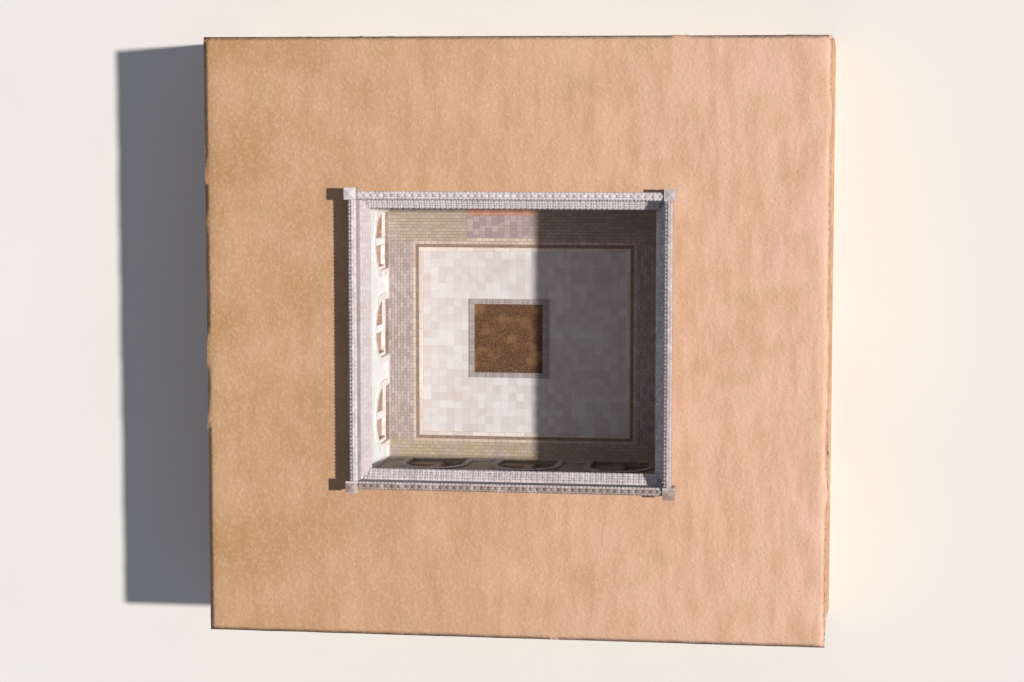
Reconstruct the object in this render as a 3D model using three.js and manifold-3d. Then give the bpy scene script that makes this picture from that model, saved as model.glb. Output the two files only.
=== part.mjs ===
// Sunken courtyard dwelling: a square pit dug in loess, with cave rooms cut into its four sides.
// Millimetres, +Z up, +X east, +Y north. The origin is at the centre of the underside.
import * as THREE from "three";
import { mergeVertices } from "three/addons/utils/BufferGeometryUtils.js";
import Module from "manifold-3d";

const wasm = await Module();
wasm.setup();

// Clearance that neighbouring pieces keep
const GAP = 0.3;

// Plan of the pit and of the earth round it, as half widths
const COURT_X = 5700;
const COURT_Y = 5260;
const ROOM_DEPTH = 5400;
const BACK_WALL = 600;
const EARTH_X = COURT_X + ROOM_DEPTH + BACK_WALL;
const EARTH_Y = COURT_Y + ROOM_DEPTH + BACK_WALL;

// Levels above the underside
const YARD_LEVEL = 450;
const TERRACE_LEVEL = 500;
const SPRING_LEVEL = 2000;
const GROUND_LEVEL = 6000;

// Yard one brick below the walk, and its kerb
const YARD = { west: -4310, east: 3740, south: -4170, north: 2960 };
const KERB_WIDTH = 160;
const KERB_LIFT = 12;

// Pointed arch of the cave rooms: half span, and how far each arc's centre lies past the middle
const ROOM_HALF = 1250;
const ARCH_POINT = 100;
const ARC_STEPS = 9;

// Brick arch ring that lines each mouth, and the plinth course at the wall's foot
const RING_INNER = 1110;
const RING_OUTER = 1350;
const RING_PROUD = 55;
const LINING_DEPTH = 110;
const PLINTH_HEIGHT = 380;
const PLINTH_PROUD = 40;

// Wall that closes each room: thickness, doorway, window and high vent
const FRONT_THICK = 240;
const THRESHOLD = 80;
const DOORWAY = { left: -1010, right: -150, height: 1900 };
const WINDOW = { left: 140, right: 1000, sill: 900, height: 1000 };
const VENT = { half: 330, bottom: 2130, height: 380 };

// Plank door on wooden pivots
const DOOR_THICK = 44;
const DOOR_CLEARANCE = 8;
const PIVOT_RADIUS = 25;
const PIN_RADIUS = 18;
const PIVOT_SIDES = 12;
const PIVOT_INSET = 60;

// Brick eave, parapet and coping round the rim
const RIM_FACE = 10;
const PARAPET_THICK = 240;
const RIM_BACK = RIM_FACE + PARAPET_THICK;
const EAVE_FOOT = 5620;
const EAVE_REACH = 350;
const EAVE_TIP_LEVEL = 5850;
const EAVE_TIP_THICK = 50;
const EAVE_TOP_LEVEL = 6100;
const CORBEL_COURSES = 3;
const CORBEL_STEP = 65;
const PARAPET_TOP = 6780;
const COPING_TOP = 6900;
const COPING_EDGE = 50;
const COPING_OVERHANG = 20;

// Square brick pier at each corner of the rim, with a footing in the earth and a projecting cap
const PIER_PROUD = 125;
const FOOTING_DEPTH = 150;
const CAP_PROUD = 40;
const CAP_THICK = 55;
const CAP_TOP = 7030;

// The four sides, each turned about the vertical axis from the north side's place.
// passage is the place in rooms of the bay that is the way in, or -1.
const SIDES = [
  {
    name: "north",
    corner: "northeast",
    turn: 0,
    distance: COURT_Y,
    half: COURT_X,
    rooms: [-3600, 0, 3600],
    passage: -1,
  },
  {
    name: "west",
    corner: "northwest",
    turn: 1,
    distance: COURT_X,
    half: COURT_Y,
    rooms: [-3400, 0, 3400],
    passage: -1,
  },
  {
    name: "south",
    corner: "southwest",
    turn: 2,
    distance: COURT_Y,
    half: COURT_X,
    rooms: [-3600, 0, 3600],
    passage: -1,
  },
  {
    name: "east",
    corner: "southeast",
    turn: 3,
    distance: COURT_X,
    half: COURT_Y,
    rooms: [-3400, 0, 3400],
    passage: 2,
  },
];

const MATERIALS = {
  loess: new THREE.MeshStandardMaterial({ color: 0xd9a883, roughness: 0.95 }),
  paving: new THREE.MeshStandardMaterial({ color: 0xb5a497, roughness: 0.9 }),
  kerb: new THREE.MeshStandardMaterial({ color: 0xd8c4a4, roughness: 0.85 }),
  brick: new THREE.MeshStandardMaterial({ color: 0x8c8880, roughness: 0.9 }),
  tile: new THREE.MeshStandardMaterial({ color: 0xc9bcc0, roughness: 0.85 }),
  plaster: new THREE.MeshStandardMaterial({ color: 0xc9957c, roughness: 0.92 }),
  timber: new THREE.MeshStandardMaterial({ color: 0xbba191, roughness: 0.7 }),
};

// Closed geometry to manifold solid
function solid(geometry) {
  const bare = geometry.clone();
  bare.deleteAttribute("normal");
  bare.deleteAttribute("uv");
  const merged = mergeVertices(bare, 1e-3);
  return new wasm.Manifold(
    new wasm.Mesh({
      numProp: 3,
      vertProperties: merged.attributes.position.array,
      triVerts: new Uint32Array(merged.index.array),
    }),
  );
}

// Manifold solid back to geometry
function geometryOf(manifold) {
  const mesh = manifold.getMesh();
  const geometry = new THREE.BufferGeometry();
  geometry.setAttribute("position", new THREE.BufferAttribute(mesh.vertProperties, mesh.numProp));
  geometry.setIndex(new THREE.BufferAttribute(mesh.triVerts, 1));
  geometry.computeVertexNormals();
  return geometry;
}

function joined(geometries) {
  return geometryOf(geometries.map(solid).reduce((whole, next) => whole.add(next)));
}

function cut(geometry, cutters) {
  return geometryOf(cutters.map(solid).reduce((rest, cutter) => rest.subtract(cutter), solid(geometry)));
}

function outline(points) {
  return new THREE.Shape(points.map(([x, y]) => new THREE.Vector2(x, y)));
}

function rectangle(left, bottom, right, top) {
  return outline([
    [left, bottom],
    [right, bottom],
    [right, top],
    [left, top],
  ]);
}

function box(x0, y0, z0, x1, y1, z1) {
  const geometry = new THREE.BoxGeometry(x1 - x0, y1 - y0, z1 - z0);
  return geometry.translate((x0 + x1) / 2, (y0 + y1) / 2, (z0 + z1) / 2);
}

// A plan shape raised from one level to another
function raised(shape, bottom, top) {
  const geometry = new THREE.ExtrudeGeometry(shape, { depth: top - bottom, bevelEnabled: false });
  return geometry.translate(0, 0, bottom);
}

// A shape drawn in elevation, given depth from the line start towards +Y
function elevated(shape, start, depth) {
  const geometry = new THREE.ExtrudeGeometry(shape, { depth, bevelEnabled: false });
  return geometry.rotateX(Math.PI / 2).translate(0, start + depth, 0);
}

// Points of a pointed arch with straight jambs, from its left foot to its right foot
function archPoints(half, foot, middle = 0) {
  const radius = half + ARCH_POINT;
  const crown = Math.acos(ARCH_POINT / radius);
  const right = [];
  for (let i = 0; i <= ARC_STEPS; i += 1) {
    const angle = (crown * i) / ARC_STEPS;
    right.push([radius * Math.cos(angle) - ARCH_POINT, SPRING_LEVEL + radius * Math.sin(angle)]);
  }
  const left = right.slice(0, -1).map(([x, z]) => [-x, z]);
  const points = [[-half, foot], ...left, ...right.reverse(), [half, foot]];
  return points.map(([x, z]) => [x + middle, z]);
}

// Elevation of one brick ring: everything between two arches that share their centres
function ringShape(outer, inner, middle, foot) {
  return outline([...archPoints(outer, foot, middle), ...archPoints(inner, foot, middle).reverse()]);
}

// A rim profile of (distance behind the facade, level) points, run along the side with mitred ends.
// Behind the line called stop the ends are square, where they butt against the corner piers.
function mitred(profile, side, stop = Infinity) {
  const geometry = new THREE.ExtrudeGeometry(outline(profile), { depth: 2, bevelEnabled: false });
  const places = geometry.attributes.position;
  for (let i = 0; i < places.count; i += 1) {
    const behind = places.getX(i);
    const level = places.getY(i);
    const reach = side.half + Math.min(behind, stop) - GAP;
    const end = places.getZ(i) > 1 ? 1 : -1;
    places.setXYZ(i, end * reach, side.distance + behind, level);
  }
  geometry.computeVertexNormals();
  return geometry;
}

// Comb of earth between the rooms, from the terrace to the springing; the passage has no back wall
function wallsPlan(side, left, right, rooms) {
  const front = side.distance + GAP;
  const roomEnd = side.distance + ROOM_DEPTH;
  const back = roomEnd + BACK_WALL;
  const points = [[left, front]];
  for (const middle of rooms) {
    points.push([middle - ROOM_HALF, front], [middle - ROOM_HALF, roomEnd]);
    points.push([middle + ROOM_HALF, roomEnd], [middle + ROOM_HALF, front]);
  }
  points.push([right, front], [right, back], [left, back]);
  return outline(points);
}

function earthHalf(side) {
  return side.turn % 2 === 0 ? EARTH_X : COURT_Y - GAP;
}

function wallPieces(side) {
  const end = earthHalf(side);
  const bottom = TERRACE_LEVEL + GAP;
  const rooms = side.rooms.filter((_, i) => i !== side.passage);
  if (side.passage < 0) {
    return { [`walls_${side.name}`]: raised(wallsPlan(side, -end, end, rooms), bottom, SPRING_LEVEL) };
  }
  const middle = side.rooms[side.passage];
  const beside = wallsPlan(side, -end, middle - ROOM_HALF, rooms);
  const beyond = wallsPlan(side, middle + ROOM_HALF, end, []);
  return {
    [`walls_${side.name}`]: raised(beside, bottom, SPRING_LEVEL),
    passage_wall: raised(beyond, bottom, SPRING_LEVEL),
  };
}

// Earth over the rooms, from the springing to the ground, with the vaults, the eave's seat and, on the
// long sides, the pockets for the corner piers' footings cut out
function vaultPiece(side) {
  const end = earthHalf(side);
  const front = side.distance + GAP;
  const back = side.distance + ROOM_DEPTH + BACK_WALL;
  const block = box(-end, front, SPRING_LEVEL + GAP, end, back, GROUND_LEVEL);
  const barrels = side.rooms.map((middle, i) => {
    const depth = i === side.passage ? ROOM_DEPTH + 2 * BACK_WALL : ROOM_DEPTH;
    return elevated(outline(archPoints(ROOM_HALF, SPRING_LEVEL - 10, middle)), side.distance, depth);
  });
  const seatHalf = Math.min(side.half + RIM_BACK + GAP, end + 10);
  const seatBack = side.distance + RIM_BACK + GAP;
  const seat = box(-seatHalf, side.distance - 10, EAVE_FOOT, seatHalf, seatBack, GROUND_LEVEL + 10);
  if (side.turn % 2 === 1) return cut(block, [...barrels, seat]);
  const pierBack = RIM_BACK + PIER_PROUD + GAP;
  const pockets = [-1, 1].map((hand) => {
    const ends = [hand * side.half, hand * (side.half + pierBack)].sort((a, b) => a - b);
    const bottom = GROUND_LEVEL - FOOTING_DEPTH;
    return box(ends[0], side.distance - 10, bottom, ends[1], side.distance + pierBack, GROUND_LEVEL + 10);
  });
  return cut(block, [...barrels, seat, ...pockets]);
}

// Three brick arch rings and the plinth course between them, as one band of brickwork on the facade
function trimPiece(side) {
  const foot = TERRACE_LEVEL + GAP;
  const face = side.distance;
  const parts = [];
  for (const middle of side.rooms) {
    const front = ringShape(RING_OUTER, RING_INNER, middle, foot);
    const lining = ringShape(ROOM_HALF - GAP, RING_INNER, middle, foot);
    parts.push(elevated(front, face - RING_PROUD, RING_PROUD));
    parts.push(elevated(lining, face - RING_PROUD / 2, RING_PROUD / 2 + LINING_DEPTH));
  }
  const stops = side.rooms.flatMap((middle) => [middle - RING_OUTER + 20, middle + RING_OUTER - 20]);
  const ends = [-(side.half - RING_PROUD - GAP), ...stops, side.half - RING_PROUD - GAP];
  for (let i = 0; i < ends.length; i += 2) {
    parts.push(box(ends[i], face - PLINTH_PROUD, foot, ends[i + 1], face, foot + PLINTH_HEIGHT));
  }
  return joined(parts);
}

// Wall in one arch, with its doorway, window and vent cut through
function frontPiece(side, middle) {
  const floor = TERRACE_LEVEL;
  const shape = outline(archPoints(ROOM_HALF - GAP, floor + GAP, middle));
  const doorTop = floor + THRESHOLD + DOORWAY.height;
  const windowTop = floor + WINDOW.sill + WINDOW.height;
  const ventTop = floor + VENT.bottom + VENT.height;
  shape.holes.push(
    rectangle(middle + DOORWAY.left, floor + THRESHOLD, middle + DOORWAY.right, doorTop),
    rectangle(middle + WINDOW.left, floor + WINDOW.sill, middle + WINDOW.right, windowTop),
    rectangle(middle - VENT.half, floor + VENT.bottom, middle + VENT.half, ventTop),
  );
  return elevated(shape, side.distance + LINING_DEPTH + GAP, FRONT_THICK);
}

// Place of a door's pivot line
function pivotPlace(side, middle) {
  return {
    x: middle + DOORWAY.left + PIVOT_RADIUS + DOOR_CLEARANCE,
    y: side.distance + LINING_DEPTH + FRONT_THICK - PIVOT_INSET,
  };
}

// Plank leaf with its pivot post, drawn closed about the pivot line
function doorPiece() {
  const width = DOORWAY.right - DOORWAY.left - PIVOT_RADIUS - 2 * DOOR_CLEARANCE;
  const low = TERRACE_LEVEL + THRESHOLD;
  const high = low + DOORWAY.height;
  const bottom = low + DOOR_CLEARANCE;
  const top = high - DOOR_CLEARANCE;
  const post = new THREE.CylinderGeometry(PIVOT_RADIUS, PIVOT_RADIUS, top - bottom, PIVOT_SIDES);
  const pinHeight = high - low - 2 * GAP;
  const pin = new THREE.CylinderGeometry(PIN_RADIUS, PIN_RADIUS, pinHeight, PIVOT_SIDES);
  const centre = (low + high) / 2;
  return joined([
    box(0, -DOOR_THICK / 2, bottom, width, DOOR_THICK / 2, top),
    post.rotateX(Math.PI / 2).translate(0, 0, centre),
    pin.rotateX(Math.PI / 2).translate(0, 0, centre),
  ]);
}

// Corbelled brick courses under a sloping tile edge, bedded behind the facade under the parapet
function eaveProfile() {
  const face = RIM_FACE - GAP;
  const points = [
    [RIM_BACK, EAVE_FOOT + GAP],
    [RIM_BACK, GROUND_LEVEL],
    [face, GROUND_LEVEL],
    [face, EAVE_TOP_LEVEL],
    [-EAVE_REACH, EAVE_TIP_LEVEL + EAVE_TIP_THICK],
    [-EAVE_REACH, EAVE_TIP_LEVEL],
  ];
  const course = (EAVE_TIP_LEVEL - EAVE_FOOT) / CORBEL_COURSES;
  for (let i = CORBEL_COURSES - 1; i > 0; i -= 1) {
    const level = EAVE_FOOT + i * course;
    points.push([-i * CORBEL_STEP, level + course], [-i * CORBEL_STEP, level]);
  }
  points.push([0, EAVE_FOOT + course], [0, EAVE_FOOT + GAP]);
  return points;
}

function parapetProfile() {
  return [
    [RIM_FACE, GROUND_LEVEL + GAP],
    [RIM_BACK, GROUND_LEVEL + GAP],
    [RIM_BACK, PARAPET_TOP],
    [RIM_FACE, PARAPET_TOP],
  ];
}

function copingProfile() {
  const inner = RIM_FACE - COPING_OVERHANG;
  const outer = RIM_BACK + COPING_OVERHANG;
  const bottom = PARAPET_TOP + GAP;
  const edge = bottom + COPING_EDGE;
  const middle = (inner + outer) / 2;
  return [
    [inner, bottom],
    [RIM_FACE, bottom],
    [outer, bottom],
    [outer, edge],
    [middle, COPING_TOP],
    [RIM_FACE, edge + ((COPING_TOP - edge) * (RIM_FACE - inner)) / (middle - inner)],
    [inner, edge],
  ];
}

// Pier at the corner between this side and the next one clockwise, from its footing to its pointed cap.
// The footing is an L in plan, round the back of the eave's bedding.
function pierPiece(side) {
  const inner = RIM_FACE;
  const outer = RIM_BACK + PIER_PROUD;
  const shaft = box(inner, inner, GROUND_LEVEL + GAP, outer, outer, COPING_TOP + GAP);
  const foot = GROUND_LEVEL - FOOTING_DEPTH + GAP;
  const behind = RIM_BACK + 2 * GAP;
  const footings = [
    box(behind, 2 * GAP, foot, outer, outer, GROUND_LEVEL),
    box(behind, inner, foot, outer, outer, GROUND_LEVEL + 10),
    box(inner, behind, foot, outer, outer, GROUND_LEVEL + 10),
  ];
  const capTop = COPING_TOP + CAP_THICK;
  const capInner = inner - CAP_PROUD;
  const capOuter = outer + CAP_PROUD;
  const slab = box(capInner, capInner, COPING_TOP + GAP, capOuter, capOuter, capTop);
  const middle = (inner + outer) / 2;
  const point = new THREE.ConeGeometry((capOuter - capInner) / Math.SQRT2, CAP_TOP - capTop, 4);
  point.rotateX(Math.PI / 2).rotateZ(Math.PI / 4).translate(middle, middle, (capTop + CAP_TOP) / 2);
  return joined([shaft, ...footings, slab, point]).translate(side.half, side.distance, 0);
}

// Plan of the walk and room floors, round the yard and its kerb
function terraceShape() {
  const shape = rectangle(-EARTH_X, -EARTH_Y, EARTH_X, EARTH_Y);
  const margin = KERB_WIDTH + GAP;
  const { west, south, east, north } = YARD;
  shape.holes.push(rectangle(west - margin, south - margin, east + margin, north + margin));
  return shape;
}

function kerbShape() {
  const { west, south, east, north } = YARD;
  const shape = rectangle(west - KERB_WIDTH, south - KERB_WIDTH, east + KERB_WIDTH, north + KERB_WIDTH);
  shape.holes.push(rectangle(west, south, east, north));
  return shape;
}

const dwelling = new THREE.Group();

function place(parent, name, geometry, material) {
  const mesh = new THREE.Mesh(geometry, material);
  mesh.name = name;
  parent.add(mesh);
  return mesh;
}

place(dwelling, "base", box(-EARTH_X, -EARTH_Y, 0, EARTH_X, EARTH_Y, YARD_LEVEL), MATERIALS.loess);
place(dwelling, "terrace", raised(terraceShape(), YARD_LEVEL + GAP, TERRACE_LEVEL), MATERIALS.paving);
const kerbTop = TERRACE_LEVEL + KERB_LIFT;
place(dwelling, "court_kerb", raised(kerbShape(), YARD_LEVEL + GAP, kerbTop), MATERIALS.kerb);

for (const side of SIDES) {
  const group = new THREE.Group();
  group.rotation.z = (side.turn * Math.PI) / 2;
  dwelling.add(group);

  for (const [name, geometry] of Object.entries(wallPieces(side))) {
    place(group, name, geometry, MATERIALS.loess);
  }
  place(group, `vault_${side.name}`, vaultPiece(side), MATERIALS.loess);
  place(group, `arch_trim_${side.name}`, trimPiece(side), MATERIALS.brick);
  place(group, `eave_${side.name}`, mitred(eaveProfile(), side), MATERIALS.tile);
  place(group, `parapet_${side.name}`, mitred(parapetProfile(), side, RIM_FACE), MATERIALS.brick);
  place(group, `coping_${side.name}`, mitred(copingProfile(), side, RIM_FACE), MATERIALS.tile);
  place(group, `pier_${side.corner}`, pierPiece(side), MATERIALS.brick);

  side.rooms.forEach((middle, i) => {
    if (i === side.passage) return;
    const number = i + 1;
    place(group, `front_${side.name}_${number}`, frontPiece(side, middle), MATERIALS.plaster);
    const door = place(group, `door_${side.name}_${number}`, doorPiece(), MATERIALS.timber);
    const pivot = pivotPlace(side, middle);
    door.position.set(pivot.x, pivot.y, 0);
  });
}

export default dwelling;
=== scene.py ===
import math
import random

import bmesh
import bpy
import numpy as np
from mathutils import Matrix, Vector, noise


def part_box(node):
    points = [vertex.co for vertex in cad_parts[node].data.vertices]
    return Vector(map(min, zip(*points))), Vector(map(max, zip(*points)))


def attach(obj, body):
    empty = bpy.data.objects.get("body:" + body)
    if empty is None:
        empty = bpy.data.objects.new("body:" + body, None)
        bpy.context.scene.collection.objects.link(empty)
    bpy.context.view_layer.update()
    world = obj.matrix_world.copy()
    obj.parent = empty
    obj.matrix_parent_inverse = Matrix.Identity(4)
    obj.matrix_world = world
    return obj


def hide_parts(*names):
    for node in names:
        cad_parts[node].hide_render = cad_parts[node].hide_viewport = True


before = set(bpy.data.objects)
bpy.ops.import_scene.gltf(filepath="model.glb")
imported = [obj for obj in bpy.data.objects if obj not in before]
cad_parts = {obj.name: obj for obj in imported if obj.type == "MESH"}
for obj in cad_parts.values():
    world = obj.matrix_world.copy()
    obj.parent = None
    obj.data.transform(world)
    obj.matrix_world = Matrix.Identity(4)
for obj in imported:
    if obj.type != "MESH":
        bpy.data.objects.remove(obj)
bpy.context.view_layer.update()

# Sunken courtyard dwelling: tiled rim, brick arches, plank doors, paved court and weathered earth.
# Metres, +X east, +Y north, +Z up.
ROOT = "dwelling"

# Places taken from the frame
GAP = 0.0003
COURT_X = -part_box("vault_west")[1].x - GAP
COURT_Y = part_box("vault_north")[0].y - GAP
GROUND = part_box("vault_north")[1].z
EARTH_X, EARTH_Y, YARD_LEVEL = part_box("base")[1]
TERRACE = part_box("terrace")[1].z
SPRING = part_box("walls_north")[1].z
PARAPET_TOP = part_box("parapet_north")[1].z
KERB_LOW, KERB_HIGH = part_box("court_kerb")
COPING_LOW, COPING_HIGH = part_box("coping_north")
COPING_TOP = COPING_HIGH.z
CAP_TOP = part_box("pier_northeast")[1].z
RIM_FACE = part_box("parapet_north")[0].y - COURT_Y
RIM_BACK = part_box("parapet_north")[1].y - COURT_Y
EAVE_LOW, EAVE_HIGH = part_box("eave_north")
EAVE_REACH = COURT_Y - EAVE_LOW.y
FRONT_LOW, FRONT_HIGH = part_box("front_north_1")
LINING_DEPTH = FRONT_LOW.y - COURT_Y
FRONT_THICK = FRONT_HIGH.y - FRONT_LOW.y

# Bays, arches, fronts and rim, as the construction has them
NS_BAY = 3.6
EW_BAY = 3.4
ROOM_HALF = 1.25
ARCH_POINT = 0.1
RING_INNER = 1.11
RING_OUTER = 1.35
RING_PROUD = 0.055
PLINTH_HEIGHT = 0.38
PLINTH_PROUD = 0.04
DOORWAY = (-1.01, -0.15, 0.08, 1.98)
WINDOW = (0.14, 1.0, 0.9, 1.9)
VENT = (-0.33, 0.33, 2.13, 2.51)
PIVOT_INSET = 0.06
CORBEL_STEP = 0.065
EAVE_DROP = 0.2
EAVE_EDGE = 0.05
CAP_PROUD = 0.04
KERB_WIDTH = 0.16

# Grey brick, with its mortar joint
BRICK = Vector((0.24, 0.115, 0.053))
JOINT = 0.012
COURSE = BRICK.z + JOINT
BRICK_PROUD = 0.004
CHAMFER = 0.004
SHORTEST_CUT = 0.03

# A small step that keeps two faces from lying in one plane
HAIR = 0.001

X, Y, Z = range(3)

random.seed(7)


class Side:
    """One side of the court. Places on it are (along, behind the facade, level)."""

    def __init__(self, name, turn, distance, half, bay, passage=None):
        self.name = name
        self.distance = distance
        self.half = half
        self.rooms = (-bay, 0.0, bay)
        self.passage = passage
        self.turn = Matrix.Rotation(turn * math.pi / 2, 4, "Z")

    def at(self, along, behind, level):
        return self.turn @ Matrix.Translation((along, self.distance + behind, level))

    def fronts(self):
        return [(i + 1, middle) for i, middle in enumerate(self.rooms) if i != self.passage]


SIDES = [
    Side("north", 0, COURT_Y, COURT_X, NS_BAY),
    Side("west", 1, COURT_X, COURT_Y, EW_BAY),
    Side("south", 2, COURT_Y, COURT_X, NS_BAY),
    Side("east", 3, COURT_X, COURT_Y, EW_BAY, passage=2),
]
CORNERS = {"northeast": (1, 1), "northwest": (-1, 1), "southwest": (-1, -1), "southeast": (1, -1)}


# Materials

def linear(code):
    """An sRGB hex colour as linear RGBA."""
    parts = [int(code[i:i + 2], 16) / 255 for i in (1, 3, 5)]
    return [c / 12.92 if c <= 0.04045 else ((c + 0.055) / 1.055) ** 2.4 for c in parts] + [1.0]


def per(mm):
    """Pattern scale that gives features of that many millimetres."""
    return 1000.0 / mm


def add(tree, kind, inputs=None, **settings):
    """Adds one node with its settings, and sets or links its inputs."""
    made = tree.nodes.new("ShaderNode" + kind)
    for key, value in settings.items():
        setattr(made, key, value)
    for key, value in (inputs or {}).items():
        if isinstance(value, bpy.types.NodeSocket):
            tree.links.new(value, made.inputs[key])
        else:
            made.inputs[key].default_value = value
    return made


class Coat:
    """A finish as it is built up on Object coordinates: a ground colour, then tints laid over it."""

    def __init__(self, tree):
        self.tree = tree
        self.place = add(tree, "TexCoord").outputs["Object"]
        self.colour = None

    def patches(self, size, low, high, stretch=(1, 1, 1), shift=0.0, detail=4.0):
        """0 to 1 where soft patches of that size in millimetres rise from low to high."""
        moved = {"Vector": self.place, "Scale": stretch, "Location": (shift, shift, shift)}
        cloud = {"Vector": add(self.tree, "Mapping", moved).outputs[0], "Scale": per(size), "Detail": detail}
        span = {"Value": add(self.tree, "TexNoise", cloud).outputs["Fac"], "From Min": low, "From Max": high}
        return add(self.tree, "MapRange", span).outputs[0]

    def rise(self, axis, low, high):
        """0 to 1 as the place on an axis goes from low to high, or back where low is the higher."""
        along = add(self.tree, "SeparateXYZ", {0: self.place}).outputs[axis]
        return add(self.tree, "MapRange", {"Value": along, "From Min": low, "From Max": high}).outputs[0]

    def over(self, mask, tint, share=1.0, broken=1.0):
        """Lays a tint over the colour where a mask is up, by a share, and broken by a second mask."""
        weight = add(self.tree, "Math", {0: mask, 1: share}, operation="MULTIPLY").outputs[0]
        weight = add(self.tree, "Math", {0: weight, 1: broken}, operation="MULTIPLY").outputs[0]
        ends = {0: weight, 6: self.colour, 7: linear(tint)}
        self.colour = add(self.tree, "Mix", ends, data_type="RGBA").outputs[2]


MINERAL_IOR = 1.5


def finish(name, ground, paint, roughness, grain, relief, metallic=0.0):
    """A dry finish. Paint lays tints on the ground colour and may return a height.

    Relief is that of bumps as big as the grain, both in millimetres.
    """
    made = bpy.data.materials.new(name)
    made.use_nodes = True
    tree = made.node_tree
    shader = tree.nodes["Principled BSDF"]
    coat = Coat(tree)
    coat.colour = linear(ground)
    height = paint(coat)
    bumps = add(tree, "TexNoise", {"Vector": coat.place, "Scale": per(grain), "Detail": 6.0}).outputs["Fac"]
    if height is not None:
        bumps = add(tree, "Math", {0: height, 1: bumps}, operation="ADD").outputs[0]
    bump = add(tree, "Bump", {"Height": bumps, "Strength": 1.0, "Distance": relief / 1000})
    tree.links.new(bump.outputs[0], shader.inputs["Normal"])
    tree.links.new(coat.colour, shader.inputs["Base Color"])
    shader.inputs["Roughness"].default_value = roughness
    shader.inputs["Metallic"].default_value = metallic
    shader.inputs["IOR"].default_value = MINERAL_IOR
    return made


def packed_earth():
    """Loess ground swept and rolled hard: ochre in the west, pinker in the east, and scuffed pale."""

    def paint(coat):
        coat.over(coat.rise(X, -EARTH_X, EARTH_X), "#E8BDA7")
        coat.over(coat.patches(2600, 0.4, 0.62), "#DDB493", 0.45)
        coat.over(coat.patches(420, 0.42, 0.68, stretch=(1.0, 0.22, 1.0), shift=3.1), "#BC8A62", 0.4)
        coat.over(coat.patches(1500, 0.52, 0.72, shift=9.4), "#B5965F", 0.3)
        clods = coat.patches(130, 0.45, 0.65, shift=5.0, detail=8.0)
        coat.over(clods, "#E8C7AA", 0.22)
        coat.over(coat.patches(34, 0.6, 0.68, shift=7.0), "#A07250", 0.5)
        return clods

    return finish("packed_earth", "#BA8E61", paint, roughness=0.95, grain=22, relief=9)


# Levels and strength of the redder buried soils in the cut face, and of the dark topsoil
BURIED_SOILS = ((1.35, 1.75, 0.45), (3.4, 4.65, 0.8))
TOPSOIL = (5.9, 6.5)


def cut_loess():
    """Loess cut by spade to a face: massive and buff, with redder buried soils and lime nodules."""

    def paint(coat):
        tree = coat.tree
        coat.over(coat.patches(2400, 0.35, 0.65), "#D5B08E")
        bedding = coat.patches(420, 0.42, 0.64, stretch=(0.1, 0.1, 1.0), shift=2.0, detail=6.0)
        coat.over(bedding, "#AC7C56", 0.22)
        sway = coat.patches(2600, 0.0, 1.0, stretch=(1.0, 1.0, 0.3), shift=2.0, detail=6.0)
        level = add(tree, "SeparateXYZ", {0: coat.place}).outputs[Z]
        level = add(tree, "Math", {0: sway, 1: 0.8, 2: level}, operation="MULTIPLY_ADD").outputs[0]
        blotches = coat.patches(420, 0.15, 0.5, stretch=(1.0, 1.0, 0.7), shift=6.0, detail=8.0)
        for low, high, share in BURIED_SOILS:
            foot = add(tree, "MapRange", {"Value": level, "From Min": low - 0.12, "From Max": low + 0.2})
            head = add(tree, "MapRange", {"Value": level, "From Min": high + 0.2, "From Max": high - 0.12})
            band = add(tree, "Math", {0: foot.outputs[0], 1: head.outputs[0]}, operation="MULTIPLY")
            coat.over(band.outputs[0], "#AB7351", share, blotches)
        topsoil = {"Value": level, "From Min": TOPSOIL[0], "From Max": TOPSOIL[1]}
        coat.over(add(tree, "MapRange", topsoil).outputs[0], "#A88460", 0.55)
        crumbs = coat.patches(210, 0.35, 0.7, shift=4.0, detail=8.0)
        coat.over(crumbs, "#E4C29C", 0.35)
        coat.over(coat.patches(300, 0.5, 0.72, stretch=(1.0, 1.0, 0.12), shift=11.0), "#A67A57", 0.35)
        nodules = coat.patches(60, 0.69, 0.73, shift=8.0)
        coat.over(nodules, "#E9DCC6", 0.75)
        pores = coat.patches(42, 0.68, 0.72, shift=13.0)
        coat.over(pores, "#7C5638", 0.6)
        slanted = {"Vector": coat.place, "Rotation": (0.5, 0.5, 0), "Scale": (1.0, 1.0, 0.55)}
        cells = {"Vector": add(tree, "Mapping", slanted).outputs[0], "Scale": per(380)}
        spade = add(tree, "TexVoronoi", cells, feature="SMOOTH_F1").outputs[0]
        # Painted shade: the hollows of the spade marks are tinted darker
        painted_hollow_shade = add(tree, "MapRange", {"Value": spade, "From Min": 0.75, "From Max": 0.25}).outputs[0]
        coat.over(painted_hollow_shade, "#A98062", 0.25)
        crumbs = add(tree, "Math", {0: crumbs, 1: 0.3}, operation="MULTIPLY").outputs[0]
        return add(tree, "Math", {0: spade, 1: 2.2, 2: crumbs}, operation="MULTIPLY_ADD").outputs[0]

    return finish("cut_loess", "#BC9170", paint, roughness=0.96, grain=60, relief=32)


def clay_plaster(name, ground, pale, run, damp):
    """Clay and chopped straw plaster, hand trowelled: streaked by rain and dark at the foot."""

    def paint(coat):
        coat.over(coat.patches(900, 0.35, 0.68), pale)
        coat.over(coat.patches(220, 0.5, 0.75, stretch=(1.0, 1.0, 0.1), shift=6.0), run, 0.5)
        coat.over(coat.rise(Z, TERRACE + 1.0, TERRACE), damp, 0.45)
        straw = coat.patches(26, 0.66, 0.72, stretch=(0.35, 0.35, 1.6), shift=2.2)
        coat.over(straw, "#E3BF95", 0.55)
        return coat.patches(240, 0.25, 0.8, shift=7.0)

    return finish(name, ground, paint, roughness=0.93, grain=14, relief=5)


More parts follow.
